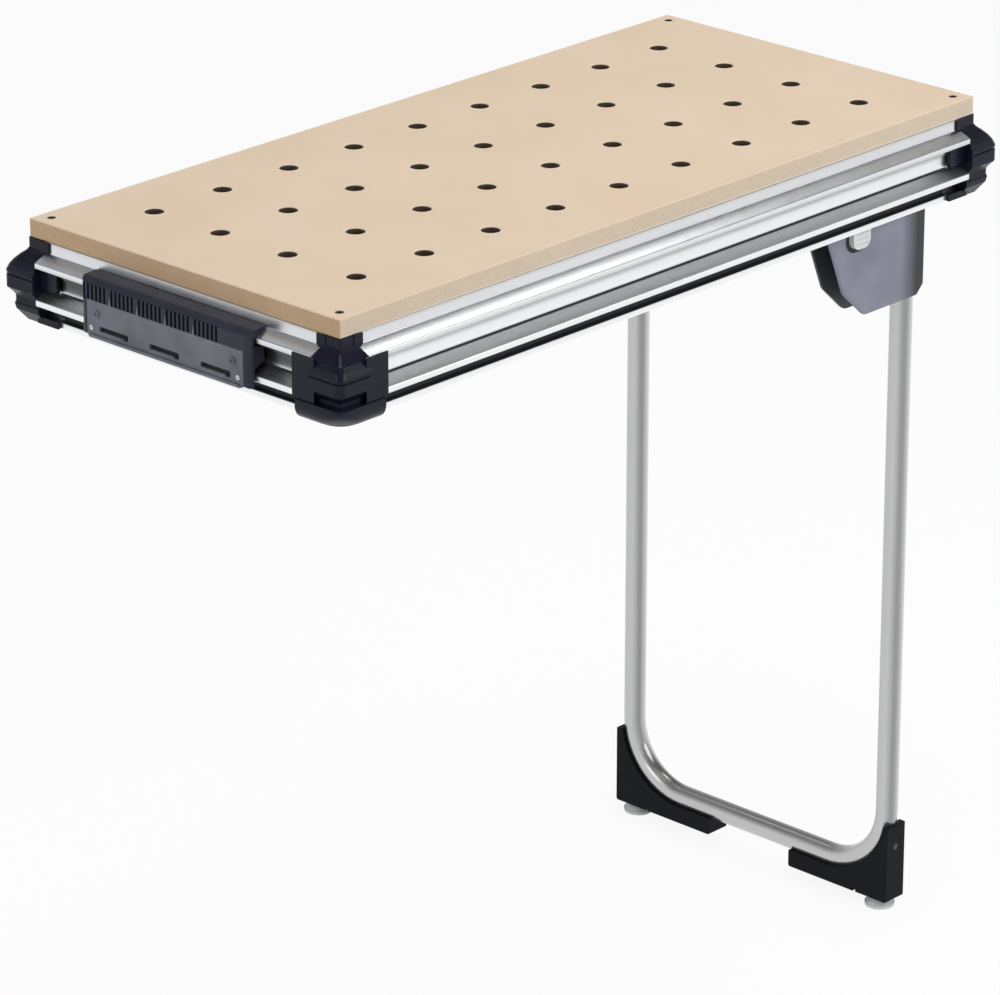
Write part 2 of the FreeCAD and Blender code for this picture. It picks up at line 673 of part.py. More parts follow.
def make_hood():
    """Moulded hood with its comb and end cheeks, in the rail's local frame."""
    half = HOOD_HALF
    hood = rail_prism(hood_outline(), -half, half)
    for x0, x1 in ((-half, -half + CHEEK_WIDTH), (half - CHEEK_WIDTH, half)):
        hood = hood.fuse(rail_prism(cheek_outline(), x0, x1))
    plan = rounded_wire(
        [
            (-half, -HOOD_OUT, RAIL_BOTTOM_Z, HOOD_END_RADIUS),
            (half, -HOOD_OUT, RAIL_BOTTOM_Z, HOOD_END_RADIUS),
            (half, 0, RAIL_BOTTOM_Z),
            (-half, 0, RAIL_BOTTOM_Z),
        ]
    )
    hood = hood.common(Part.Face(plan).extrude(UP * RAIL_HEIGHT))
    slots = []
    z0 = UNDERSIDE_Z - HOOD_BOTTOM_DOWN - 1
    z1 = UNDERSIDE_Z - HOOD_TOP_DOWN - 5
    for start in comb_group_starts():
        for k in range(COMB_SLOTS):
            x = start + k * COMB_SLOT_PITCH
            front = -HOOD_OUT - 1
            slots.append(solid_box(x, x + COMB_SLOT_WIDTH, front, -HOOD_OUT + COMB_SLOT_DEPTH, z0, z1))
    for x in tooth_places():
        outline = tooth_outline(x, TOOTH_WIDTH + 2 * SEAT_GAP, TOOTH_HEIGHT + 1)
        slots.append(front_prism(outline, HOOD_OUT + 1, HOOD_OUT - PLATE_THICKNESS - SEAT_GAP))
    return hood.cut(compound(slots)).removeSplitter()


def plate_slot_spans():
    """Start and end of each hooked slot of the plate, along the rail."""
    run = 2 * (PLATE_HALF - PLATE_END_MARGIN)
    length = (run - (PLATE_SLOTS - 1) * PLATE_SLOT_BRIDGE) / PLATE_SLOTS
    starts = [-run / 2 + k * (length + PLATE_SLOT_BRIDGE) for k in range(PLATE_SLOTS)]
    return [(start, start + length) for start in starts]


def set_screw_places():
    """Places along the rail and heights of the two set screws that bear on the lower ridge."""
    z = UNDERSIDE_Z - LOWER_RIDGE_TOP - RIDGE_NOSE / 2
    return [(side * (PLATE_HALF - SET_SCREW_INSET), z) for side in (-1, 1)]


def make_plate():
    """Flat plate below the comb, with teeth, hooked slots and screw bosses."""
    half = PLATE_HALF
    outer = HOOD_OUT - PLATE_STEP
    inner = outer - PLATE_THICKNESS
    top = HOOD_BOTTOM_DOWN + SEAT_GAP
    outline = [(-half, top), (half, top), (half, PLATE_BOTTOM_DOWN, 4.0), (-half, PLATE_BOTTOM_DOWN, 4.0)]
    plate = front_prism(outline, inner, outer)
    lip = [
        (-half + 4, PLATE_BOTTOM_DOWN - PLATE_LIP_HEIGHT),
        (half - 4, PLATE_BOTTOM_DOWN - PLATE_LIP_HEIGHT),
        (half - 4, PLATE_BOTTOM_DOWN),
        (-half + 4, PLATE_BOTTOM_DOWN),
    ]
    plate = plate.fuse(front_prism(lip, inner, outer + PLATE_LIP))
    for x in tooth_places():
        plate = plate.fuse(front_prism(tooth_outline(x, TOOTH_WIDTH, TOOTH_HEIGHT), inner + 0.5, outer))
    z = UNDERSIDE_Z - COUPLING_SCREW_DOWN
    for x in (-COUPLING_SCREW_X, COUPLING_SCREW_X):
        bar_face = V(x, -CLAMP_BAR_FRONT_OUT - SEAT_GAP, z)
        plate = plate.fuse(cylinder(COUPLING_SCREW_RADIUS * 2.4, bar_face, V(x, -inner - 1, z)))
        plate = plate.cut(cylinder(COUPLING_SCREW_RADIUS + HOLE_GAP, V(x, 0, z), V(x, -HOOD_OUT - 2, z)))
    for x, z in set_screw_places():
        hole = cylinder(SET_SCREW_RADIUS + HOLE_GAP, V(x, 0, z), V(x, -HOOD_OUT - 2, z))
        plate = plate.cut(hole)
    for x0, x1 in plate_slot_spans():
        down1 = PLATE_SLOT_DOWN + PLATE_SLOT_HEIGHT
        slot = [
            (x0, PLATE_SLOT_DOWN),
            (x1, PLATE_SLOT_DOWN),
            (x1, down1 + PLATE_SLOT_HOOK - PLATE_SLOT_HEIGHT),
            (x1 - PLATE_SLOT_HOOK, down1 + PLATE_SLOT_HOOK - PLATE_SLOT_HEIGHT),
            (x1 - PLATE_SLOT_HOOK, down1),
            (x0, down1),
        ]
        plate = plate.cut(front_prism(slot, inner - 1, outer + 1))
    return plate.removeSplitter()


def make_clamp_bar():
    """Bar in the rail's groove that the coupling's screws pull against."""
    back = GROOVE_BACK_OUT + SEAT_GAP
    slope = (LOWER_RIDGE_TOP - LOWER_SLOPE_DOWN) / (RIDGE_OUT - LOWER_SLOPE_OUT)
    low_back = LOWER_SLOPE_DOWN + slope * (back - LOWER_SLOPE_OUT) - 2 * SEAT_GAP
    low_front = LOWER_SLOPE_DOWN + slope * (CLAMP_BAR_FRONT_OUT - LOWER_SLOPE_OUT) - 2 * SEAT_GAP
    outline = [
        (back, CLAMP_BAR_TOP),
        (CLAMP_BAR_FRONT_OUT, CLAMP_BAR_TOP),
        (CLAMP_BAR_FRONT_OUT, low_front),
        (back, low_back),
    ]
    bar = rail_prism(outline, -CLAMP_BAR_HALF, CLAMP_BAR_HALF)
    z = UNDERSIDE_Z - COUPLING_SCREW_DOWN
    for x in (-COUPLING_SCREW_X, COUPLING_SCREW_X):
        bar = bar.cut(cylinder(COUPLING_SCREW_RADIUS + HOLE_GAP, V(x, 0, z), V(x, -HOOD_OUT, z)))
    return bar


def make_coupling_screws():
    """Socket-head screws of the coupling, in the rail's local frame."""
    face = HOOD_OUT - PLATE_STEP
    z = UNDERSIDE_Z - COUPLING_SCREW_DOWN
    tip = GROOVE_BACK_OUT + 2
    screws = []
    for x in (-COUPLING_SCREW_X, COUPLING_SCREW_X):
        top = V(x, -face - COUPLING_HEAD_HEIGHT, z)
        screw = cylinder(COUPLING_SCREW_RADIUS, V(x, -tip, z), V(x, -face, z))
        screw = screw.fuse(cylinder(COUPLING_HEAD_RADIUS, V(x, -face, z), top))
        screws.append(screw.cut(hexagon_socket(top, COUPLING_SOCKET_RADIUS, COUPLING_HEAD_HEIGHT * 0.7)))
    return compound(screws)


def hexagon_socket(top, radius, depth):
    """Six-sided recess that goes in from a screw's outer end."""
    angles = [math.radians(60 * k) for k in range(7)]
    corners = [top + V(math.cos(a) * radius, 0, math.sin(a) * radius) for a in angles]
    return Part.Face(Part.makePolygon(corners)).extrude(V(0, depth, 0))


def make_set_screws():
    """Bright set screws through the plate's ends, bearing on the lower ridge's nose."""
    face = HOOD_OUT - PLATE_STEP
    screws = []
    for x, z in set_screw_places():
        top = V(x, -face - SET_SCREW_STANDS_OUT, z)
        rim = V(x, -face - HOLE_GAP, z)
        screw = cylinder(SET_SCREW_RADIUS, V(x, -RIDGE_OUT - HOLE_GAP, z), rim)
        screw = screw.fuse(cylinder(SET_SCREW_HEAD_RADIUS, rim, top))
        socket = hexagon_socket(top, SET_SCREW_SOCKET_RADIUS, SET_SCREW_STANDS_OUT * 2)
        screws.append(screw.cut(socket))
    return compound(screws)


def housing_outline():
    """Side view of the hinge housing, as (x, z, radius)."""
    left = PIVOT_X - HOUSING_LEFT_FROM_PIVOT
    top = UNDERSIDE_Z - HOUSING_TOP_GAP
    return [
        (left, top),
        (HOUSING_RIGHT, top),
        (HOUSING_RIGHT, -HOUSING_DEPTH + HOUSING_CHAMFER, 3.0),
        (HOUSING_RIGHT - HOUSING_CHAMFER, -HOUSING_DEPTH, 4.0),
        (left + HOUSING_BOTTOM_LEFT, -HOUSING_DEPTH, HOUSING_LOWER_RADIUS),
        (left + HOUSING_LEFT_LEAN, -HOUSING_LEAN_END, HOUSING_LOWER_RADIUS),
        (left, -HOUSING_STRAIGHT_LEFT, 8.0),
    ]


def latch_outline(grow):
    """Face of the latch block, grown all round for its opening."""
    x = PIVOT_X + LATCH_FROM_PIVOT
    half = LATCH_WIDTH / 2 + grow
    top = RAIL_BOTTOM_Z - LATCH_TOP_GAP + grow
    low = RAIL_BOTTOM_Z - LATCH_TOP_GAP - LATCH_HEIGHT - grow
    radius = LATCH_CORNER_RADIUS + grow
    return [(x - half, top), (x + half, top), (x + half, low, radius), (x - half, low, radius)]


def make_housing():
    """Moulded outer shell of the front hinge."""
    outer = -RAIL_INNER_Y
    cheek_inner = outer + CHEEK_THICKNESS
    plate_face = -SIDE_PLATE_Y
    top = UNDERSIDE_Z - HOUSING_TOP_GAP
    left = PIVOT_X - HOUSING_LEFT_FROM_PIVOT
    housing = prism_xz(housing_outline(), outer, cheek_inner)
    wall_x = HOUSING_RIGHT - HOUSING_WALL
    wall = solid_box(wall_x, HOUSING_RIGHT, outer, plate_face, -HOUSING_DEPTH, -HOUSING_WALL_TOP)
    housing = housing.fuse(wall.common(prism_xz(housing_outline(), outer, plate_face)))
    housing = housing.fuse(solid_box(left, HOUSING_RIGHT, outer, plate_face, top - HOUSING_WEB, top))
    for offset in BOSS_FROM_PIVOT:
        x = PIVOT_X + offset
        boss = cylinder(BOSS_RADIUS, V(x, outer, -BOSS_DEPTH), V(x, plate_face, -BOSS_DEPTH))
        housing = housing.fuse(boss)
    housing = housing.removeSplitter()
    edges = [
        edge
        for edge in housing.Edges
        if abs(edge.CenterOfMass.x - HOUSING_RIGHT) < 1e-3
        and abs(edge.CenterOfMass.y - outer) < 1e-3
        and edge.Length > HOUSING_DEPTH / 2
    ]
    housing = housing.makeFillet(min(HOUSING_EDGE_RADIUS, HOUSING_WALL - 0.3), edges)
    for offset in BOSS_FROM_PIVOT:
        x = PIVOT_X + offset
        start = V(x, cheek_inner, -BOSS_DEPTH)
        end = V(x, plate_face + 1, -BOSS_DEPTH)
        housing = housing.cut(cylinder(SMALL_SCREW_RADIUS + HOLE_GAP, start, end))
    for offset in HOUSING_SCREW_FROM_PIVOT:
        x = PIVOT_X + offset
        z = -HOUSING_SCREW_DEPTH
        hole = cylinder(SMALL_SCREW_RADIUS + HOLE_GAP, V(x, outer - 1, z), V(x, cheek_inner + 1, z))
        housing = housing.cut(hole)
    pivot_start = V(PIVOT_X, outer - 1, PIVOT_Z)
    pivot = cylinder(PIVOT_RADIUS + 2 * HOLE_GAP, pivot_start, V(PIVOT_X, cheek_inner + 1, PIVOT_Z))
    window = prism_xz(latch_outline(LATCH_GAP), outer - 1, cheek_inner + 1)
    return housing.cut(pivot).cut(window)


def make_side_plate():
    """Steel plate that closes the front hinge on the inner side."""
    face = -SIDE_PLATE_Y
    back = face + SIDE_PLATE_THICKNESS
    plate = prism_xz(housing_outline(), face, back)
    for offset in BOSS_FROM_PIVOT:
        x = PIVOT_X + offset
        start = V(x, face - 1, -BOSS_DEPTH)
        end = V(x, back + 1, -BOSS_DEPTH)
        plate = plate.cut(cylinder(SMALL_SCREW_RADIUS + HOLE_GAP, start, end))
    pivot = V(PIVOT_X, face - 1, PIVOT_Z)
    return plate.cut(cylinder(PIVOT_RADIUS + 2 * HOLE_GAP, pivot, V(PIVOT_X, back + 1, PIVOT_Z)))


def make_side_plate_screws():
    """Screws through the side plate into the housing's bosses, front hinge."""
    back = -SIDE_PLATE_Y + SIDE_PLATE_THICKNESS
    tip = -RAIL_INNER_Y + CHEEK_THICKNESS + 4
    screws = []
    for offset in BOSS_FROM_PIVOT:
        x = PIVOT_X + offset
        shank = cylinder(SMALL_SCREW_RADIUS, V(x, tip, -BOSS_DEPTH), V(x, back, -BOSS_DEPTH))
        top = V(x, back + SMALL_HEAD_HEIGHT, -BOSS_DEPTH)
        screws.append(shank.fuse(cylinder(SMALL_HEAD_RADIUS, V(x, back, -BOSS_DEPTH), top)))
    return screws


def make_housing_screws():
    """Screws through the housing's outer cheek into the front rail."""
    face = -RAIL_INNER_Y + CHEEK_THICKNESS
    tip = -RAIL_INNER_Y - RAIL_WALL - 3
    screws = []
    for offset in HOUSING_SCREW_FROM_PIVOT:
        x = PIVOT_X + offset
        z = -HOUSING_SCREW_DEPTH
        seat = V(x, face, z)
        shank = cylinder(SMALL_SCREW_RADIUS, V(x, tip, z), seat)
        screws.append(shank.fuse(cylinder(SMALL_HEAD_RADIUS, seat, V(x, face + SMALL_HEAD_HEIGHT, z))))
    return screws


def housing_screw_holes():
    """Holes in the front rail for the housing's screws."""
    holes = []
    for offset in HOUSING_SCREW_FROM_PIVOT:
        x = PIVOT_X + offset
        z = -HOUSING_SCREW_DEPTH
        start = V(x, -RAIL_INNER_Y + 1, z)
        holes.append(cylinder(SMALL_SCREW_RADIUS + HOLE_GAP, start, V(x, -RAIL_INNER_Y - RAIL_WALL - 1, z)))
    return compound(holes)


def make_stop_pad():
    """Rubber pad that the unfolded leg rests against, front hinge."""
    x1 = HOUSING_RIGHT - HOUSING_WALL
    half = STOP_PAD_WIDTH / 2
    low = -HOUSING_DEPTH + STOP_PAD_ABOVE_BOTTOM
    high = low + STOP_PAD_HEIGHT
    return solid_box(x1 - STOP_PAD_THICKNESS, x1, -LEG_Y - half, -LEG_Y + half, low, high)


def make_latch():
    """Latch block of the front hinge, drawn back so that the leg is free."""
    inner = -RAIL_INNER_Y + CHEEK_THICKNESS - 0.2
    outer = -RAIL_INNER_Y - LATCH_TRAVEL
    latch = prism_xz(latch_outline(0), outer, inner)
    x = PIVOT_X + LATCH_FROM_PIVOT
    half = LATCH_WIDTH / 2 - 5
    for k in (1, 2, 3):
        z = RAIL_BOTTOM_Z - LATCH_TOP_GAP - LATCH_HEIGHT * k / 4
        depth = outer + LATCH_RIB
        latch = latch.cut(solid_box(x - half, x + half, outer - 1, depth, z - LATCH_RIB, z + LATCH_RIB))
    return latch


def make_pivot_bolt():
    """T-slot bolt that the front side of the leg turns on."""
    slot_back = -HALF_WIDTH + RAIL_INWARD - TSLOT_DEPTH + BOLT_HEAD_GAP
    lip = -RAIL_INNER_Y - TSLOT_LIP - HOLE_GAP
    half = TSLOT_INSIDE / 2 - BOLT_HEAD_GAP
    neck = TSLOT_OPENING / 2 - SEAT_GAP
    length = BOLT_HEAD_LENGTH / 2
    head = solid_box(PIVOT_X - length, PIVOT_X + length, slot_back, lip, PIVOT_Z - half, PIVOT_Z + half)
    square = solid_box(
        PIVOT_X - neck, PIVOT_X + neck, lip, -RAIL_INNER_Y - HOLE_GAP, PIVOT_Z - neck, PIVOT_Z + neck
    )
    start = V(PIVOT_X, -RAIL_INNER_Y - HOLE_GAP, PIVOT_Z)
    end = V(PIVOT_X, knob_top() - KNOB_CAP - 1, PIVOT_Z)
    return head.fuse(square).fuse(cylinder(PIVOT_RADIUS, start, end)).removeSplitter()


def washer_face():
    """Inner side of the front side plate, where the washer lies."""
    return -SIDE_PLATE_Y + SIDE_PLATE_THICKNESS


def knob_start():
    """Start of the front knob's hub."""
    return washer_face() + HOLE_GAP + WASHER_THICKNESS + KNOB_GAP


def knob_top():
    """Outer end of the front knob."""
    return knob_start() + KNOB_HUB_LENGTH + KNOB_THICKNESS


def make_washer():
    """Washer between the side plate and the knob, front hinge."""
    start = V(PIVOT_X, washer_face() + HOLE_GAP, PIVOT_Z)
    end = start + V(0, WASHER_THICKNESS, 0)
    return cylinder(WASHER_RADIUS, start, end).cut(cylinder(PIVOT_RADIUS + 4 * HOLE_GAP, start, end))


def make_knob():
    """Lobed clamp knob on the pivot bolt, front hinge."""
    centre = V(PIVOT_X, 0, PIVOT_Z)
    start = centre + V(0, knob_start(), 0)
    grip = centre + V(0, knob_start() + KNOB_HUB_LENGTH, 0)
    top = centre + V(0, knob_top(), 0)
    knob = cylinder(KNOB_HUB_RADIUS, start, grip)
    knob = knob.fuse(cylinder(KNOB_RADIUS - KNOB_LOBE_RADIUS, grip, top))
    for k in range(KNOB_LOBES):
        angle = 2 * math.pi * k / KNOB_LOBES
        reach = KNOB_RADIUS - KNOB_LOBE_RADIUS
        offset = V(math.cos(angle) * reach, 0, math.sin(angle) * reach)
        knob = knob.fuse(cylinder(KNOB_LOBE_RADIUS, grip + offset, top + offset))
    knob = knob.removeSplitter()
    rims = [edge for edge in knob.Edges if abs(edge.CenterOfMass.y - top.y) < 1e-3]
    knob = knob.makeFillet(min(2.0, KNOB_THICKNESS / 4), rims)
    bore_end = top - V(0, KNOB_CAP, 0)
    return knob.cut(cylinder(PIVOT_RADIUS + KNOB_BORE_CLEARANCE, start - V(0, 1, 0), bore_end))


def leg_path():
    """Centre line of the bent tube, from the front top to the rear top."""
    bend_z = CROSS_Z + BEND_RADIUS
    flat_y = LEG_Y - BEND_RADIUS
    diagonal = BEND_RADIUS * math.sin(math.radians(45))
    top_z = PIVOT_Z + TUBE_TOP_ABOVE_PIVOT

    def place(y, z):
        return V(PIVOT_X, y, z)

    front_mid = place(-flat_y - diagonal, bend_z - diagonal)
    rear_mid = place(flat_y + diagonal, bend_z - diagonal)
    edges = [
        Part.LineSegment(place(-LEG_Y, top_z), place(-LEG_Y, bend_z)).toShape(),
        Part.Arc(place(-LEG_Y, bend_z), front_mid, place(-flat_y, CROSS_Z)).toShape(),
        Part.LineSegment(place(-flat_y, CROSS_Z), place(flat_y, CROSS_Z)).toShape(),
        Part.Arc(place(flat_y, CROSS_Z), rear_mid, place(LEG_Y, bend_z)).toShape(),
        Part.LineSegment(place(LEG_Y, bend_z), place(LEG_Y, top_z)).toShape(),
    ]
    return Part.Wire(edges)


def leg_rod(radius):
    """Solid round bar of one radius along the leg's centre line."""
    top = V(PIVOT_X, -LEG_Y, PIVOT_Z + TUBE_TOP_ABOVE_PIVOT)
    circle = Part.Wire([Part.makeCircle(radius, top, UP)])
    return leg_path().makePipeShell([circle], True, False)


def both_sides(make):
    """A front-side shape and its mirror image."""
    shape = make()
    return [shape, mirrored(shape)]


def make_leg_tube():
    """Bent tube with holes for the pivot sleeves and the shoes' screws."""
    tube = leg_rod(TUBE_RADIUS).cut(leg_rod(TUBE_RADIUS - TUBE_WALL))
    for side in (-1, 1):
        y = side * LEG_Y
        start = V(PIVOT_X, y - TUBE_RADIUS - 1, PIVOT_Z)
        tube = tube.cut(cylinder(SLEEVE_RADIUS + HOLE_GAP, start, start + V(0, 2 * TUBE_RADIUS + 2, 0)))
        for start, end in shoe_screw_axes(side):
            tube = tube.cut(cylinder(SMALL_SCREW_RADIUS + HOLE_GAP, start, end))
    return tube


def make_sleeves():
    """Sleeves across the tube that run on the pivot bolts."""
    half = TUBE_RADIUS + LEG_SIDE_CLEARANCE - SEAT_GAP
    sleeves = []
    for side in (-1, 1):
        start = V(PIVOT_X, side * LEG_Y - half, PIVOT_Z)
        end = start + V(0, 2 * half, 0)
        sleeve = cylinder(SLEEVE_RADIUS, start, end)
        sleeves.append(sleeve.cut(cylinder(PIVOT_RADIUS + RUNNING_CLEARANCE, start, end)))
    return compound(sleeves)


def make_end_caps():
    """Plastic plugs in the tube's two top ends."""
    top_z = PIVOT_Z + TUBE_TOP_ABOVE_PIVOT
    stem_radius = TUBE_RADIUS - TUBE_WALL - HOLE_GAP
    stem = min(END_CAP_STEM, TUBE_TOP_ABOVE_PIVOT - SLEEVE_RADIUS - 0.5)
    caps = []
    for side in (-1, 1):
        seat = V(PIVOT_X, side * LEG_Y, top_z)
        disc = cylinder(TUBE_RADIUS, seat, seat + UP * END_CAP_THICKNESS)
        rim = [edge for edge in disc.Edges if abs(edge.CenterOfMass.z - top_z - END_CAP_THICKNESS) < 1e-3]
        disc = disc.makeFillet(END_CAP_THICKNESS / 2, rim)
        caps.append(disc.fuse(cylinder(stem_radius, seat - UP * stem, seat)))
    return compound(caps)


def shoe_screw_axes(side):
    """Start and end of the two screws of one shoe, from outside towards the tube."""
    low = FLOOR_Z + SHOE_BOTTOM_ABOVE_FLOOR
    z = FLOOR_Z + SHOE_SCREW_ABOVE_FLOOR
    outer = LEG_Y + TUBE_RADIUS + SHOE_OUTER_WALL
    return [
        (V(PIVOT_X, side * SHOE_SCREW_Y, low), V(PIVOT_X, side * SHOE_SCREW_Y, low + SHOE_SCREW_DEPTH)),
        (V(PIVOT_X, side * outer, z), V(PIVOT_X, side * (outer - SHOE_SCREW_DEPTH), z)),
    ]


def make_shoe():
    """Corner shoe under the front bend of the leg."""
    bend_z = CROSS_Z + BEND_RADIUS
    flat_y = LEG_Y - BEND_RADIUS
    seat = BEND_RADIUS + SHOE_FLANGE
    outer = LEG_Y + TUBE_RADIUS + SHOE_OUTER_WALL
    low = FLOOR_Z + SHOE_BOTTOM_ABOVE_FLOOR
    top = FLOOR_Z + SHOE_TOP_ABOVE_FLOOR
    x0 = PIVOT_X - SHOE_HALF_THICKNESS
    x1 = PIVOT_X + SHOE_HALF_THICKNESS
    outline = [
        (-outer, top, 1.0),
        (-flat_y, top),
        (-flat_y, CROSS_Z - SHOE_FLANGE + seat),
        (-SHOE_INNER_Y, CROSS_Z - SHOE_FLANGE + seat),
        (-SHOE_INNER_Y, low, 3.0),
        (-outer, low, 3.0),
    ]
    shoe = prism_yz(outline, x0, x1)
    shoe = shoe.cut(solid_box(x0 - 1, x1 + 1, -flat_y, 0, CROSS_Z - SHOE_FLANGE, top + seat))
    scoop = cylinder(seat, V(x0 - 1, -flat_y, bend_z), V(x1 + 1, -flat_y, bend_z))
    shoe = shoe.cut(scoop)
    shoe = shoe.cut(solid_box(x0 - 1, x1 + 1, -flat_y - seat, -flat_y, bend_z, top + seat))
    shoe = shoe.cut(leg_rod(TUBE_RADIUS + SHOE_CLEARANCE))
    notch_y = -SHOE_NOTCH_Y
    shoe = shoe.cut(solid_box(x0 - 1, x1 + 1, notch_y, notch_y + SHOE_NOTCH, low - 1, low + SHOE_NOTCH))
    below = V(PIVOT_X, -FOOT_Y, low - 1)
    seat_end = V(PIVOT_X, -FOOT_Y, low + FOOT_INSERT_LENGTH)
    bore_end = V(PIVOT_X, -FOOT_Y, low + STUD_LENGTH + 2)
    shoe = shoe.cut(cylinder(FOOT_INSERT_RADIUS + HOLE_GAP, below, seat_end))
    shoe = shoe.cut(cylinder(STUD_RADIUS + 0.5, below, bore_end))
    for start, end in shoe_screw_axes(-1):
        inward = (end - start).normalize()
        shoe = shoe.cut(cylinder(SMALL_SCREW_RADIUS + HOLE_GAP, start - inward, end))
        sink = start + inward * (SMALL_HEAD_HEIGHT + 0.4)
        shoe = shoe.cut(cylinder(SMALL_HEAD_RADIUS + HOLE_GAP, start - inward, sink))
    return shoe


def make_shoe_screws():
    """Screws that hold the shoes to the tube, with sunk heads."""
    screws = []
    for side in (-1, 1):
        for start, end in shoe_screw_axes(side):
            inward = (end - start).normalize()
            seat = start + inward * (SMALL_HEAD_HEIGHT + 0.4)
            head = cylinder(SMALL_HEAD_RADIUS, start + inward * 0.4, seat)
            screws.append(head.fuse(cylinder(SMALL_SCREW_RADIUS, seat, end - inward * 0.5)))
    return compound(screws)


def make_foot_inserts():
    """Threaded inserts for the levelling studs."""
    low = FLOOR_Z + SHOE_BOTTOM_ABOVE_FLOOR
    inserts = []
    for side in (-1, 1):
        start = V(PIVOT_X, side * FOOT_Y, low)
        end = start + UP * FOOT_INSERT_LENGTH
        ring = cylinder(FOOT_INSERT_RADIUS, start, end - UP * HOLE_GAP)
        inserts.append(ring.cut(cylinder(STUD_RADIUS + RUNNING_CLEARANCE, start, end)))
    return compound(inserts)


def make_stud():
    """Levelling stud of the front foot, with its neck in the pad."""
    base = V(PIVOT_X, -FOOT_Y, FLOOR_Z + PAD_HEIGHT)
    stud = cylinder(STUD_RADIUS, base + UP * 0.3, base + UP * STUD_LENGTH)
    rim = [edge for edge in stud.Edges if abs(edge.CenterOfMass.z - base.z - STUD_LENGTH) < 1e-3]
    stud = stud.makeChamfer(1.0, rim)
    return stud.fuse(cylinder(STUD_NECK_RADIUS, base - UP * STUD_NECK_LENGTH, base + UP * 0.3))


def make_pad():
    """Round levelling pad of the front foot."""
    centre = V(PIVOT_X, -FOOT_Y, FLOOR_Z)
    rim = cylinder(PAD_RADIUS, centre, centre + UP * PAD_RIM)
    lower = [edge for edge in rim.Edges if abs(edge.CenterOfMass.z - FLOOR_Z) < 1e-3]
    rim = rim.makeChamfer(0.6, lower)
    crown = Part.makeCone(PAD_RADIUS - 1.5, PAD_TOP_RADIUS, PAD_HEIGHT - PAD_RIM, centre + UP * PAD_RIM)
    socket = centre + UP * (PAD_HEIGHT - STUD_NECK_LENGTH - SEAT_GAP)
    bore = cylinder(STUD_NECK_RADIUS + RUNNING_CLEARANCE, socket, centre + UP * (PAD_HEIGHT + 1))
    return rim.fuse(crown).cut(bore)


def build():
    """All nodes by name."""
    nodes = {}
    nodes["worktop_board"] = make_board()
    nodes["board_screws"] = make_board_screws()
    nodes["board_screw_inserts"] = make_inserts()

    long_length = BOARD_LENGTH - 2 * CORNER_REACH
    short_length = BOARD_WIDTH - 2 * CORNER_REACH
    long_rail = make_rail(long_length)
    short_rail = make_rail(short_length)
    nodes["front_rail"] = on_front(long_rail).cut(housing_screw_holes())
    nodes["rear_rail"] = on_rear(long_rail).cut(mirrored(housing_screw_holes()))
    nodes["coupling_end_rail"] = on_left(short_rail)
    nodes["leg_end_rail"] = on_right(short_rail)

    corner = make_corner(arm_screw_cuts(), False)
    covered_corner = make_corner(arm_screw_cuts(), True)
    nodes["corner_front_left"] = turned(covered_corner, 0, V(-HALF_LENGTH, -HALF_WIDTH, 0))
    nodes["corner_front_right"] = turned(corner, 90, V(HALF_LENGTH, -HALF_WIDTH, 0))
    nodes["corner_rear_right"] = turned(corner, 180, V(HALF_LENGTH, HALF_WIDTH, 0))
    nodes["corner_rear_left"] = turned(corner, -90, V(-HALF_LENGTH, HALF_WIDTH, 0))
    long_screws = make_arm_screws(long_length)
    short_screws = make_arm_screws(short_length)
    placed = [place(screw) for place in (on_front, on_rear) for screw in long_screws]
    placed += [place(screw) for place in (on_left, on_right) for screw in short_screws]
    nodes["corner_screws"] = compound(placed)

    nodes["coupling_hood"] = on_left(make_hood())
    nodes["coupling_plate"] = on_left(make_plate())
    nodes["coupling_clamp_bar"] = on_left(make_clamp_bar())
    nodes["coupling_screws"] = on_left(make_coupling_screws())
    nodes["coupling_set_screws"] = on_left(make_set_screws())

    for name, make in (
        ("hinge_housing", make_housing),
        ("hinge_side_plate", make_side_plate),
        ("leg_stop_pad", make_stop_pad),
        ("leg_latch", make_latch),
        ("pivot_bolt", make_pivot_bolt),
        ("knob_washer", make_washer),
        ("clamp_knob", make_knob),
        ("foot_shoe", make_shoe),
        ("foot_stud", make_stud),
        ("foot_pad", make_pad),
    ):
        nodes[name + "_front"], nodes[name + "_rear"] = both_sides(make)
    plate_screws = make_side_plate_screws()
    rail_screws = make_housing_screws()
    nodes["side_plate_screws"] = compound(plate_screws + [mirrored(s) for s in plate_screws])
    nodes["housing_screws"] = compound(rail_screws + [mirrored(s) for s in rail_screws])

    nodes["leg_tube"] = make_leg_tube()
    nodes["pivot_sleeves"] = make_sleeves()
    nodes["leg_end_caps"] = make_end_caps()
    nodes["shoe_screws"] = make_shoe_screws()
    nodes["foot_inserts"] = make_foot_inserts()
    return nodes


os.makedirs("parts", exist_ok=True)
for node, shape in build().items():
    shape.exportStep("parts/" + node + ".step")
    print(node, "solids", len(shape.Solids), "valid", shape.isValid(), "volume", round(shape.Volume))
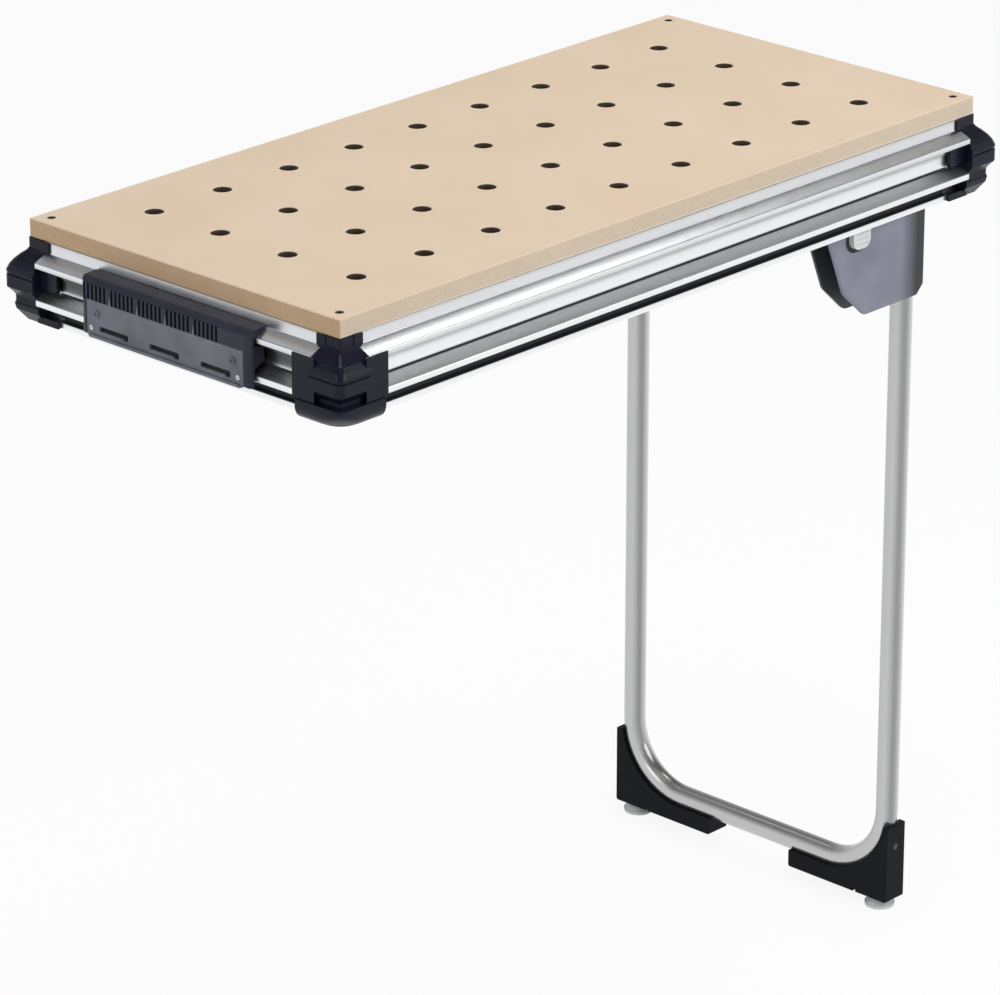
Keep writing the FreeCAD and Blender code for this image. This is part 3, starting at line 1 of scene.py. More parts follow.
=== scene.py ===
import bmesh
import bpy
import math
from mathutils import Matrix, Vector


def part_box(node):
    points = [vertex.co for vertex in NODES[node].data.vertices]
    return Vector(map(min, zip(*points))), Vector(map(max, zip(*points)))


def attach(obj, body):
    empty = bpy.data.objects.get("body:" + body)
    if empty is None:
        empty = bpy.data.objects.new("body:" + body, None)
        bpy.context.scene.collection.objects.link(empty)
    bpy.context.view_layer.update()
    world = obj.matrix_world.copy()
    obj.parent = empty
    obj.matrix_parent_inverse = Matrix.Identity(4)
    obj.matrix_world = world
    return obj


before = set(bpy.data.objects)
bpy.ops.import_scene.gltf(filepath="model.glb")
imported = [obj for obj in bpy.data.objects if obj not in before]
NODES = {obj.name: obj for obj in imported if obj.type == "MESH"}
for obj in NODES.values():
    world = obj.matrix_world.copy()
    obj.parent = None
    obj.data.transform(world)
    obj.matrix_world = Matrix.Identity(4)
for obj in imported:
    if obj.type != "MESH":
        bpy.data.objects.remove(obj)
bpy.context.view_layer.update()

# Table extension: perforated board in a ridged aluminium frame, with a folding tube leg.
# Metres, +X along the board to the leg end, +Y to the rear, +Z up, origin on the board's top.

BOARD_LOW, BOARD_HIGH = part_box("worktop_board")
BOARD_BOTTOM = BOARD_LOW.z
FLOOR_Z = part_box("foot_pad_front")[0].z
MM = 0.001

# Camera, fitted to the board's holes and corners and to the feet, with its focal length in pixels
CAMERA_PLACE = (-4.063, -3.801, 1.839)
CAMERA_AZIMUTH = -46.73
CAMERA_ELEVATION = 21.79
CAMERA_REACH = 100.0
IMAGE_WIDTH = 1000
FOCAL_PIXELS = 5600.0
SENSOR = 36.0

# Lamps as (name, place, diameter, level); a level is what a white surface facing the lamp would return
LAMPS = (
    ("key", (0.9, -3.0, 1.5), 2.4, 0.40),
    ("top", (-0.4, -0.4, 2.6), 1.2, 0.24),
    ("slope", (1.30, 0.13, 1.80), 0.75, 0.12),
    ("left", (-3.0, 0.2, 0.9), 1.6, 0.12),
    ("rear", (0.50, 1.90, 2.25), 1.2, 0.030),
)

# Surroundings: level of the fill light, and a mirrored ceiling that turns greyer further up
WORLD_LEVEL = 0.52
CEILING_LEVEL = 0.15
CEILING_SPAN = (0.12, 0.75)
WHITE = (1.0, 1.0, 1.0, 1.0)

# Floor
FLOOR_SIZE = 40.0
FLOOR_COLOUR = 0.96
FLOOR_ROUGHNESS = 0.9
FLOOR_GLOSS = 0.1
FLOOR_GLOW = 0.9

# Black strips of painted shade in the rails' fine slits and low slots: sections as (out from the board's
# edge, down from its underside), in millimetres
SLIT_SHADE_STRIP = ((1.05, 48.6), (1.05, 49.9), (2.6, 50.3), (3.1, 49.8), (3.1, 48.3), (2.6, 47.9))
SLOT_SHADE_STRIP = ((-0.95, 70.0), (-0.95, 78.4), (4.8, 79.4), (4.8, 78.9), (-0.4, 78.0), (-0.4, 70.0))
WING_REACH = 48.0
STRIP_END_GAP = 0.4

# Painted shade and light of the rails as (millimetres down from the board's underside, tone): darker under
# the board, under the noses and in the slots, lighter on the noses
RAIL_HEIGHT = 86.0
RAIL_SHADING = (
    (0.0, 0.60), (3.0, 0.78), (11.5, 0.88), (20.0, 0.90), (25.0, 0.66), (28.0, 0.42),
    (48.0, 0.74), (51.0, 0.76), (57.5, 0.84), (59.5, 0.97), (65.0, 0.92),
    (66.0, 0.30), (79.0, 0.25), (80.5, 0.94), (86.0, 1.0),
)
# Painted shade on the back of the grooves: lighter on the long rails, darker on the short ones
GROOVE_BACK_LIT = ((33.0, 0.58), (38.0, 0.92), (46.0, 0.97))
GROOVE_BACK_SHADED = ((30.0, 0.12), (38.0, 0.10), (44.0, 0.16), (46.5, 0.60))

# Upper slope of the rails: where its tone starts and ends, and its colour on the long and the short rails,
# which differ as painted light and shade
SLOPE_START = 12.5
SLOPE_END = 18.5
SLOPE_ALONG_X = (0.61, 0.64, 0.67)
SLOPE_ALONG_Y = (0.76, 0.83, 0.90)

# Leg tube: painted shade and highlights round it, by how far its surface faces the side direction, and wide
# bands along it
TUBE_SIDE = (0.686, -0.728)
TUBE_SHADING = (
    (0.0, 0.80), (0.30, 0.84), (0.45, 0.68), (0.61, 0.46), (0.71, 0.50), (0.84, 0.80), (0.93, 1.0),
)
BAND_SPAN = (0.36, 0.64)
BAND_TONES = (0.84, 1.0)

# Coupling: sections of the dark sheets of painted shade behind the plate's openings and in the comb, in
# millimetres
PLATE_SHADE_SHEET = ((19.2, 34.5), (19.2, 70.5), (19.6, 71.0), (20.2, 71.0), (20.2, 34.0), (19.6, 34.0))
COMB_SHADE_SHEET = ((20.6, 14.5), (20.6, 32.5), (21.3, 32.5), (21.3, 14.5))
SHADE_SHEET_HALF = 107.0

# Skirt of the near corner: section as distance out, distance down and radius in plan, in millimetres
SKIRT_SECTION = (
    (16.4, 66.2, 6.4), (19.9, 66.2, 9.9), (20.0, 67.0, 10.2), (20.0, 70.0, 12.0), (20.0, 73.0, 15.5),
    (19.6, 77.0, 22.0), (18.3, 80.6, 27.5), (16.2, 83.7, 29.5), (13.4, 86.1, 27.0), (10.2, 87.5, 20.0),
    (3.6, 88.0, 3.0), (3.6, 69.2, 3.0),
)
SKIRT_END = 43.0
SKIRT_TURN = (270, 180)
SKIRT_ARC_STEPS = 12
SKIRT_SHARP_ANGLE = 32

# Painted shade of the gap round the latch, as a dark band, in metres: its distance from the latch, its
# width, how far its band stands over the housing's face and sinks in it, and the latch's radius with the
# turns of the two arcs in degrees
LATCH_GAP_NEAR = 0.0004
LATCH_GAP_WIDTH = 0.0046
LATCH_GAP_PROUD = 0.0007
LATCH_GAP_SUNK = 0.0002
LATCH_RADIUS = 0.010
LATCH_LEFT_TURN = (180, 270)
LATCH_RIGHT_TURN = (270, 335)
LATCH_ARC_STEPS = 10

# Holes of the board, in metres: their grid, the pale rims of painted highlight round them and the dark walls
# of painted shade in them
HOLE_PITCH = 0.096
HOLE_RADIUS = 0.010
HOLE_FIELD = (0.43, 0.19)
PITCHES_BEYOND = 40
RIM_EDGE = (0.0004, 0.0013)
RIM_STRENGTH = 0.55
WALL_EDGE = 0.0003
WALL_TOP = (-0.0016, -0.0003)

# Faces of the board: colours as (position, colour), and the heights and facings between which each changes
FACE_COLOURS = ((0.3, (0.64, 0.49, 0.345)), (0.5, (0.72, 0.57, 0.42)), (0.7, (0.80, 0.66, 0.515)))
END_COLOURS = ((0.3, (0.42, 0.275, 0.16)), (0.52, (0.56, 0.39, 0.245)), (0.75, (0.68, 0.50, 0.335)))
SIDE_COLOURS = ((0.3, (0.53, 0.425, 0.315)), (0.52, (0.645, 0.53, 0.405)), (0.75, (0.74, 0.635, 0.505)))
# The next three: painted shade on the walls in the holes, a painted highlight along the lower edge of the
# board's long sides, and a painted highlight on the rims round the holes
WALL_SHADE_COLOURS = ((0.0, (0.022, 0.015, 0.011)), (1.0, (0.085, 0.055, 0.036)))
LOWER_EDGE_HIGHLIGHT = (0.78, 0.70, 0.60, 1.0)
RIM_HIGHLIGHT = (0.86, 0.77, 0.65, 1.0)
FACE_EDGE = (-0.0012, -0.0006)
# Heights over which the painted shade in the holes and the painted highlight along the sides' lower edge
# change
WALL_FADE = (-0.010, -0.0005)
HIGHLIGHT_HEIGHT = (0.0026, 0.0014)
END_FACING = (0.4, 0.7)

# Fibres of the board: their stretch along each axis, roughness, share of the colour and relief in metres
FIBRE_STRETCH = (700.0, 1500.0, 900.0)
FIBRE_ROUGHNESS = (0.62, 0.78)
FIBRE_SHARE = 0.75
FIBRE_RELIEF = 0.00006
BOARD_GLOSS = 0.3

# Noises: the span that a colour or a roughness follows, the share of the first of two, and clouds per metre
NOISE_SPAN = (0.3, 0.7)
METAL_SPAN = (0.35, 0.65)
PLASTIC_SPAN = (0.35, 0.68)
LINE_SHARE = 0.5
SCUFF_SHARE = 0.6
BOARD_CLOUDS = 7.0
METAL_CLOUDS = 14.0
PLASTIC_CLOUDS = 22.0

# Metals: colour of the rails, height of the relief in metres, and the stretch of the lines along each axis
ALUMINIUM = (0.920, 0.930, 0.945)
METAL_RELIEF = 0.00002
LINES_ALONG_X = (2.0, 2600.0, 2600.0)
LINES_ALONG_Y = (2600.0, 2.0, 2600.0)
TUBE_STRETCH = (1800.0, 5.0, 5.0)
BAND_STRETCH = (150.0, 0.6, 0.6)
STEEL_STRETCH = (500.0, 500.0, 500.0)
BRASS_STRETCH = (400.0, 400.0, 3000.0)

# Plastics: the stretch of the scuffs, and the housing's right edge, painted darker as shade between two
# places along x
SCUFF_STRETCH = (60.0, 60.0, 240.0)
HOUSING_SHADED_EDGE = (0.386, 0.413)
EDGE_SHADE_TONE = 0.09


def add(tree, kind, inputs=None, **settings):
    """New node with its settings, and with its inputs set or linked."""
    node = tree.nodes.new(kind)
    for key, value in settings.items():
        setattr(node, key, value)
    for key, value in (inputs or {}).items():
        if isinstance(value, bpy.types.NodeSocket):
            tree.links.new(value, node.inputs[key])
        else:
            node.inputs[key].default_value = value
    return node


def ramp(tree, factor, stops):
    """Colour that follows a factor through (position, colour) stops."""
    node = add(tree, "ShaderNodeValToRGB", {"Fac": factor})
    elements = node.color_ramp.elements
    while len(elements) < len(stops):
        elements.new(0.5)
    for element, (position, colour) in zip(elements, stops):
        element.position = position
        element.color = (*colour, 1.0)
    return node.outputs["Color"]


def grey(level):
    """Neutral colour."""
    return (level, level, level)


def grey_ramp(tree, factor, span, levels):
    """Neutral colour that goes from the first level to the second as a factor crosses its span."""
    return ramp(tree, factor, [(place, grey(level)) for place, level in zip(span, levels)])


def tinted(colour, factor):
    """A colour made darker or lighter, with no channel above 1."""
    return tuple(min(1.0, channel * factor) for channel in colour)


def place_on_object(tree, scale=(1.0, 1.0, 1.0)):
    """Position on the object in metres, stretched by a scale along each axis."""
    coordinates = add(tree, "ShaderNodeTexCoord")
    mapping = add(tree, "ShaderNodeMapping", {"Vector": coordinates.outputs["Object"]})
    mapping.inputs["Scale"].default_value = scale
    return mapping.outputs["Vector"]


def axes(tree, vector):
    """The X, Y and Z of a vector."""
    return add(tree, "ShaderNodeSeparateXYZ", {"Vector": vector}).outputs


def facing_axes(tree):
    """The X, Y and Z of the direction that the surface faces."""
    return axes(tree, add(tree, "ShaderNodeTexCoord").outputs["Normal"])


def noise(tree, vector, scale, detail=4.0, roughness=0.55):
    """Value of a noise of about 1 / scale metres."""
    inputs = {"Vector": vector, "Scale": scale, "Detail": detail, "Roughness": roughness}
    return add(tree, "ShaderNodeTexNoise", inputs).outputs["Fac"]


def maths(tree, operation, a, b=0.0):
    """One sum on one or two values."""
    node = add(tree, "ShaderNodeMath", {0: a, 1: b}, operation=operation)
    return node.outputs["Value"]


def weighted(tree, first, second, share):
    """Two values added, the first by its share and the second by the rest."""
    one = maths(tree, "MULTIPLY", first, share)
    other = maths(tree, "MULTIPLY", second, 1.0 - share)
    return maths(tree, "ADD", one, other)


def material(name):
    """New material, its node tree and its shader."""
    made = bpy.data.materials.new(name)
    made.use_nodes = True
    return made, made.node_tree, made.node_tree.nodes["Principled BSDF"]


def bump(tree, shader, height, distance):
    """Fine relief, with its height in metres."""
    node = add(tree, "ShaderNodeBump", {"Height": height, "Distance": distance, "Strength": 1.0})
    tree.links.new(node.outputs["Normal"], shader.inputs["Normal"])


def step(tree, value, low, high):
    """0 at low and beyond it, 1 at high and beyond it, and a straight run between."""
    inputs = {"Value": value, "From Min": low, "From Max": high}
    return add(tree, "ShaderNodeMapRange", inputs).outputs["Result"]


def blend(tree, factor, first, second):
    """First colour at 0, second at 1."""
    inputs = {"Fac": factor, "Color1": first, "Color2": second}
    return add(tree, "ShaderNodeMixRGB", inputs).outputs["Color"]


def multiply(tree, first, second):
    """Two colours multiplied."""
    inputs = {"Fac": 1.0, "Color1": first, "Color2": second}
    return add(tree, "ShaderNodeMixRGB", inputs, blend_type="MULTIPLY").outputs["Color"]


def to_nearest(tree, value, offset):
    """Distance along one axis to the nearest hole's centre, from a start beyond the board's edge."""
    turned = maths(tree, "ADD", value, offset + HOLE_PITCH * (PITCHES_BEYOND + 0.5))
    part = maths(tree, "MODULO", turned, HOLE_PITCH)
    return maths(tree, "SUBTRACT", part, HOLE_PITCH / 2)


def hole_masks(tree, x, y, z):
    """Masks of the painted highlight on the rims round the holes and of the painted shade on the walls in
    them.
    """
    across = to_nearest(tree, x, 0.0)
    along = to_nearest(tree, y, HOLE_PITCH / 2)
    across_squared = maths(tree, "MULTIPLY", across, across)
    along_squared = maths(tree, "MULTIPLY", along, along)
    radius = maths(tree, "SQRT", maths(tree, "ADD", across_squared, along_squared))
    in_x = maths(tree, "LESS_THAN", maths(tree, "ABSOLUTE", x), HOLE_FIELD[0])
    in_y = maths(tree, "LESS_THAN", maths(tree, "ABSOLUTE", y), HOLE_FIELD[1])
    field = maths(tree, "MULTIPLY", in_x, in_y)
    beyond_rim = step(tree, radius, HOLE_RADIUS + RIM_EDGE[0], HOLE_RADIUS + RIM_EDGE[1])
    rim = maths(tree, "SUBTRACT", 1.0, beyond_rim)
    wall = maths(tree, "LESS_THAN", radius, HOLE_RADIUS + WALL_EDGE)
    sunk = maths(tree, "SUBTRACT", 1.0, step(tree, z, *WALL_TOP))
    sunk_wall = maths(tree, "MULTIPLY", wall, sunk)
    return maths(tree, "MULTIPLY", rim, field), maths(tree, "MULTIPLY", sunk_wall, field)


def fibreboard():
    """Pale pressed board with fine fibres and browner, darker ends, with painted highlights on its hole rims
    and along the lower edge of its long sides, and painted shade on the walls in its holes.
    """
    made, tree, shader = material("fibreboard")
    spot = place_on_object(tree)
    fibres = noise(tree, place_on_object(tree, FIBRE_STRETCH), 1.0, detail=3.0, roughness=0.7)
    clouds = noise(tree, spot, BOARD_CLOUDS, detail=3.0)
    mixed = weighted(tree, fibres, clouds, FIBRE_SHARE)
    place = axes(tree, spot)
    # Painted highlight: a pale line along the lower edge of the board's long sides, where that edge catches
    # light
    lower_highlight = step(tree, place["Z"], BOARD_BOTTOM + HIGHLIGHT_HEIGHT[0], BOARD_BOTTOM + HIGHLIGHT_HEIGHT[1])
    side = blend(tree, lower_highlight, ramp(tree, mixed, SIDE_COLOURS), LOWER_EDGE_HIGHLIGHT)
    at_end = step(tree, maths(tree, "ABSOLUTE", facing_axes(tree)["X"]), *END_FACING)
    edge = blend(tree, at_end, side, ramp(tree, mixed, END_COLOURS))
    # Painted highlight on the rims round the holes, and painted shade on the walls in them, darker further
    # down
    rim, wall = hole_masks(tree, place["X"], place["Y"], place["Z"])
    pale = maths(tree, "MULTIPLY", rim, RIM_STRENGTH)
    face = blend(tree, pale, ramp(tree, mixed, FACE_COLOURS), RIM_HIGHLIGHT)
    colour = blend(tree, step(tree, place["Z"], *FACE_EDGE), edge, face)
    wall_shade = ramp(tree, step(tree, place["Z"], *WALL_FADE), WALL_SHADE_COLOURS)
    colour = blend(tree, wall, colour, wall_shade)
    tree.links.new(colour, shader.inputs["Base Color"])
    rough = grey_ramp(tree, fibres, NOISE_SPAN, FIBRE_ROUGHNESS)
    tree.links.new(rough, shader.inputs["Roughness"])
    shader.inputs["Specular IOR Level"].default_value = BOARD_GLOSS
    bump(tree, shader, fibres, FIBRE_RELIEF)
    return made


def rail_painted_shading(tree, slope, groove):
    """Painted shade and light of a rail's bands, by the distance down from the board, with those of its
    slope and groove.
    """
    height = axes(tree, place_on_object(tree))["Z"]
    down = step(tree, height, BOARD_BOTTOM, BOARD_BOTTOM - RAIL_HEIGHT * MM)
    tones = [(place, grey(tone)) for place, tone in (*RAIL_SHADING, *groove)]
    tones += [(SLOPE_START, slope), (SLOPE_END, slope)]
    return ramp(tree, down, [(place / RAIL_HEIGHT, tone) for place, tone in sorted(tones)])


def side_painted_shading(tree):
    """Painted shade and highlight round the leg tube, by the direction that its surface faces."""
    facing = facing_axes(tree)
    along_x = maths(tree, "MULTIPLY", facing["X"], TUBE_SIDE[0])
    along_y = maths(tree, "MULTIPLY", facing["Y"], TUBE_SIDE[1])
    across = step(tree, maths(tree, "ADD", along_x, along_y), -1.0, 1.0)
    return ramp(tree, across, [(place, grey(tone)) for place, tone in TUBE_SHADING])


def metal(name, colour, low, high, stretch, streak=0.05, tone=None, metallic=1.0, bands=None):
    """Satin metal of low to high roughness, its drawn lines along the axis with the least stretch."""
    made, tree, shader = material(name)
    lines = noise(tree, place_on_object(tree, stretch), 1.0, detail=5.0, roughness=0.65)
    clouds = noise(tree, place_on_object(tree), METAL_CLOUDS, detail=3.0)
    shades = (tinted(colour, 1.0 - streak), tinted(colour, 1.0 + streak))
    drawn = ramp(tree, lines, list(zip(NOISE_SPAN, shades)))
    # Painted shade and light in bands down the rails
    if tone:
        drawn = multiply(tree, drawn, rail_painted_shading(tree, *tone))
    # Random wide bands along the tube, and painted shade and highlights round it by the direction that its
    # surface faces
    if bands:
        wide = noise(tree, place_on_object(tree, bands), 1.0, detail=1.0, roughness=0.4)
        drawn = multiply(tree, drawn, grey_ramp(tree, wide, BAND_SPAN, BAND_TONES))
        drawn = multiply(tree, drawn, side_painted_shading(tree))
    tree.links.new(drawn, shader.inputs["Base Color"])
    both = weighted(tree, lines, clouds, LINE_SHARE)
    tree.links.new(grey_ramp(tree, both, METAL_SPAN, (low, high)), shader.inputs["Roughness"])
    shader.inputs["Metallic"].default_value = metallic
    bump(tree, shader, lines, METAL_RELIEF)
    return made


def plastic(name, colour, low, high, grain=2200.0, depth=0.00004, spread=0.16, gloss=0.5, shaded_edge=None):
    """Moulded plastic of low to high roughness, with a fine spark-eroded grain and faint flow clouds."""
    made, tree, shader = material(name)
    spot = place_on_object(tree)
    fine = noise(tree, spot, grain, detail=2.0, roughness=0.6)
    clouds = noise(tree, spot, PLASTIC_CLOUDS)
    scuffs = noise(tree, place_on_object(tree, SCUFF_STRETCH), 1.0, detail=6.0, roughness=0.75)
    shades = (tinted(colour, 1.0 - spread), tinted(colour, 1.0 + spread))
    moulded = ramp(tree, clouds, list(zip(NOISE_SPAN, shades)))
    # Painted shade: darker past a place along x, on the housing's rounded right edge
    if shaded_edge:
        past_edge = step(tree, axes(tree, spot)["X"], *shaded_edge)
        moulded = blend(tree, past_edge, moulded, (*tinted(colour, EDGE_SHADE_TONE), 1.0))
    tree.links.new(moulded, shader.inputs["Base Color"])
    both = weighted(tree, scuffs, fine, SCUFF_SHARE)
    tree.links.new(grey_ramp(tree, both, PLASTIC_SPAN, (low, high)), shader.inputs["Roughness"])
    shader.inputs["Specular IOR Level"].default_value = gloss
    bump(tree, shader, fine, depth)
    return made


def make_materials():
    """Every material by name."""
    long_shading = (SLOPE_ALONG_X, GROOVE_BACK_LIT)
    short_shading = (SLOPE_ALONG_Y, GROOVE_BACK_SHADED)
    return {
        "board": fibreboard(),
        "rail_x": metal("anodised_along_x", ALUMINIUM, 0.24, 0.34, LINES_ALONG_X, tone=long_shading),
        "rail_y": metal("anodised_along_y", ALUMINIUM, 0.24, 0.34, LINES_ALONG_Y, tone=short_shading),
        "tube": metal(
            "anodised_tube", (0.66, 0.663, 0.668), 0.2, 0.3, TUBE_STRETCH, metallic=0.85, bands=BAND_STRETCH
        ),
        "steel": metal("zinc_plated", (0.66, 0.67, 0.69), 0.2, 0.36, STEEL_STRETCH, streak=0.1),
        "brass": metal("turned_brass", (0.78, 0.58, 0.27), 0.2, 0.35, BRASS_STRETCH, streak=0.08),
        "corner": plastic("corner_plastic", (0.0070, 0.0080, 0.0190), 0.2, 0.34, gloss=0.17),
        "hood": plastic("hood_plastic", (0.026, 0.029, 0.047), 0.3, 0.46, gloss=0.22),
        "plate": plastic("plate_plastic", (0.132, 0.135, 0.168), 0.42, 0.58, spread=0.26),
        "housing": plastic(
            "housing_plastic", (0.195, 0.203, 0.262), 0.42, 0.58, shaded_edge=HOUSING_SHADED_EDGE
        ),
        "shoe": plastic(
            "shoe_plastic", (0.0055, 0.0062, 0.0095), 0.35, 0.55, grain=1800.0, depth=0.00006, gloss=0.08
        ),
        "pale": plastic(
            "pale_plastic", (0.66, 0.67, 0.68), 0.3, 0.42, grain=2600.0, depth=0.00002, spread=0.04
        ),
        "knob": plastic("knob_plastic", (0.028, 0.028, 0.034), 0.32, 0.48),
        "coat": plastic("powder_coat", (0.035, 0.037, 0.045), 0.35, 0.5, grain=900.0, depth=0.00012),
        "rubber": plastic("rubber", (0.022, 0.022, 0.023), 0.7, 0.85, grain=1500.0, depth=0.00008),
        # Black of the board's screws, and painted shade: the strips in the rails' slits and slots, the
        # sheets in the coupling and the bands round the latches
        "black_and_shade": plastic("black_and_painted_shade", (0.006, 0.006, 0.008), 0.55, 0.75, grain=1800.0, depth=0.00005),
    }


# Material name by a node's name, or by the beginning of several nodes' names
FINISH = {
    "worktop_board": "board",
    "front_rail": "rail_x",
    "rear_rail": "rail_x",
    "coupling_end_rail": "rail_y",
    "leg_end_rail": "rail_y",
    "corner_": "corner",
    "corner_screws": "steel",
    "board_screws": "black_and_shade",
    "coupling_hood": "hood",
    "coupling_plate": "plate",
    "coupling_screws": "plate",
    "hinge_housing_": "housing",
    "hinge_side_plate_": "coat",
    "leg_stop_pad_": "rubber",
    "leg_latch_": "pale",
    "clamp_knob_": "knob",
    "foot_shoe_": "shoe",
    "shoe_screws": "coat",
    "foot_pad_": "pale",
    "foot_inserts": "brass",
    "board_screw_inserts": "brass",
    "leg_tube": "tube",
    "leg_end_caps": "shoe",
}


def finish_of(node):
    """Material name for a node: its own entry, or the longest beginning that fits, or steel."""
    fitting = [key for key in FINISH if node.startswith(key)]
    return FINISH[max(fitting, key=len)] if fitting else "steel"


def dress_frame(materials):
    """Gives every carried-over node its material."""
    for name, node in NODES.items():
        for slot in node.material_slots:
            slot.material = materials[finish_of(name)]


def world_place(side, along, out, down):
    """Point in a rail's own directions, in millimetres, as a place in the frame."""
    x_out = BOARD_HIGH.x + out * MM
    y_out = BOARD_HIGH.y + out * MM
    places = {
        "front": (along * MM, -y_out),
        "rear": (-along * MM, y_out),
        "coupling_end": (-x_out, -along * MM),
        "leg_end": (x_out, along * MM),
    }
    return (*places[side], BOARD_BOTTOM - down * MM)


def finished_mesh(name, made):
    """Mesh from a set of faces, with their normals turned outwards."""
    bmesh.ops.recalc_face_normals(made, faces=made.faces)
    mesh = bpy.data.meshes.new(name)
    made.to_mesh(mesh)
    made.free()
    return mesh


def place_piece(name, mesh, finish, body):
    """New object for a mesh, with its material and the body that it rides on."""
    mesh.materials.append(MATERIALS[finish])
    piece = bpy.data.objects.new(name, mesh)
    bpy.context.scene.collection.objects.link(piece)
    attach(piece, body)


def sweep(name, side, outline, half):
    """Straight black strip of painted shade with the outline as its section, between -half and half along a
    rail.
    """
    made = bmesh.new()
    rings = []
    for along in (-half, half):
        rings.append([made.verts.new(world_place(side, along, out, down)) for out, down in outline])
    made.faces.new(rings[0])
    made.faces.new(list(reversed(rings[1])))
    count = len(outline)
    for k in range(count):
        n = (k + 1) % count
        made.faces.new((rings[0][n], rings[0][k], rings[1][k], rings[1][n]))
    place_piece(name, finished_mesh(name, made), "black_and_shade", "root")


def make_rail_shade_strips():
    """Black strips of painted shade in the fine slits and in the low slots of the four rails."""
    ends = WING_REACH + STRIP_END_GAP
    half_x = BOARD_HIGH.x / MM - ends
    half_y = BOARD_HIGH.y / MM - ends
    for side, half in (("front", half_x), ("rear", half_x), ("coupling_end", half_y), ("leg_end", half_y)):
        sweep(f"slit_shade_strip_{side}", side, SLIT_SHADE_STRIP, half)
        sweep(f"black_and_painted_shade_{side}", side, SLOT_SHADE_STRIP, half)


def make_coupling_shade_sheets():
    """Black sheets of painted shade behind the openings of the coupling's plate and in its comb."""
    sweep("plate_shade_sheet", "coupling_end", PLATE_SHADE_SHEET, SHADE_SHEET_HALF)
    sweep("comb_shade_sheet", "coupling_end", COMB_SHADE_SHEET, SHADE_SHEET_HALF)


def arc(middle, reach, turn, steps):
    """Points of an arc round a middle, from the turn's first angle in degrees to its second."""
    start, end = turn
    points = []
    for k in range(steps + 1):
        angle = math.radians(start + (end - start) * k / steps)
        points.append((middle[0] + reach * math.cos(angle), middle[1] + reach * math.sin(angle)))
    return points


def skirt_ring(out, down, radius):
    """One line of the skirt round the near corner, in plan at a distance out from the board's edges."""
    centre = radius - out
    points = [(SKIRT_END, -out)]
    points += arc((centre, centre), radius, SKIRT_TURN, SKIRT_ARC_STEPS)
    points.append((-out, SKIRT_END))
    return [(BOARD_LOW.x + x * MM, BOARD_LOW.y + y * MM, BOARD_BOTTOM - down * MM) for x, y in points]


def make_corner_skirt():
    """Rounded skirt that closes the foot of the near corner between its two wings."""
    made = bmesh.new()
    rings = [[made.verts.new(point) for point in skirt_ring(*line)] for line in SKIRT_SECTION]
    count = len(rings)
    for k in range(count):
        first, second = rings[k], rings[(k + 1) % count]
        for a in range(len(first) - 1):
            made.faces.new((first[a], second[a], second[a + 1], first[a + 1]))
    for end in (0, -1):
        made.faces.new([ring[end] for ring in rings])
    mesh = finished_mesh("corner_skirt_front_left", made)
    mesh.shade_smooth()
    mesh.set_sharp_from_angle(angle=math.radians(SKIRT_SHARP_ANGLE))
    place_piece("corner_skirt_front_left", mesh, "corner", "root")


def latch_gap_line(reach):
    """J-shaped line at a distance from the latch's left side and lower end, along x and z in metres."""
    low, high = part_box("leg_latch_front")
    radius = LATCH_RADIUS + LATCH_GAP_NEAR
    left = low.x - LATCH_GAP_NEAR
    right = high.x + LATCH_GAP_NEAR
    centre_z = low.z - LATCH_GAP_NEAR + radius
    points = [(left - reach, high.z)]
    points += arc((left + radius, centre_z), radius + reach, LATCH_LEFT_TURN, LATCH_ARC_STEPS)
    points += arc((right - radius, centre_z), radius + reach, LATCH_RIGHT_TURN, LATCH_ARC_STEPS)
    return points


def make_latch_gaps():
    """Painted shade of the gap beside and below each latch, as a thin dark band on the housing's face."""
    inner = latch_gap_line(0.0)
    outer = latch_gap_line(LATCH_GAP_WIDTH)
    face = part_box("hinge_housing_front")[0].y
    for name, sign in (("front", 1), ("rear", -1)):
        made = bmesh.new()
        rings = []
        for depth in (0.0, LATCH_GAP_PROUD):
            y = sign * (face + LATCH_GAP_SUNK - depth)
            rings.append([[made.verts.new((x, y, z)) for x, z in line] for line in (inner, outer)])
        (back_in, back_out), (front_in, front_out) = rings
        sides = ((back_in, back_out), (back_out, front_out), (front_out, front_in), (front_in, back_in))
        for k in range(len(inner) - 1):
            for a, b in sides:
                made.faces.new((a[k], b[k], b[k + 1], a[k + 1]))
        for k in (0, -1):
            made.faces.new((back_in[k], back_out[k], front_out[k], front_in[k]))
        mesh = finished_mesh(f"latch_gap_shade_{name}", made)
        place_piece(f"latch_gap_shade_{name}", mesh, "black_and_shade", "root")


def make_camera():
    """Camera at the photograph's viewing angle."""
    data = bpy.data.cameras.new("camera")
    data.sensor_width = SENSOR
    data.lens = FOCAL_PIXELS / IMAGE_WIDTH * SENSOR
    data.clip_end = CAMERA_REACH
    camera = bpy.data.objects.new("camera", data)
    azimuth = math.radians(CAMERA_AZIMUTH)
    elevation = math.radians(CAMERA_ELEVATION)
    level = math.cos(elevation)
    forward = Vector((-math.sin(azimuth) * level, math.cos(azimuth) * level, -math.sin(elevation)))
    camera.location = CAMERA_PLACE
    camera.rotation_euler = forward.to_track_quat("-Z", "Y").to_euler()
    bpy.context.scene.collection.objects.link(camera)
    bpy.context.scene.camera = camera


def mirrored_rays(tree, path):
    """1 for rays that show a surface in a gloss or through glass."""
    return maths(tree, "MAXIMUM", path["Is Glossy Ray"], path["Is Transmission Ray"])


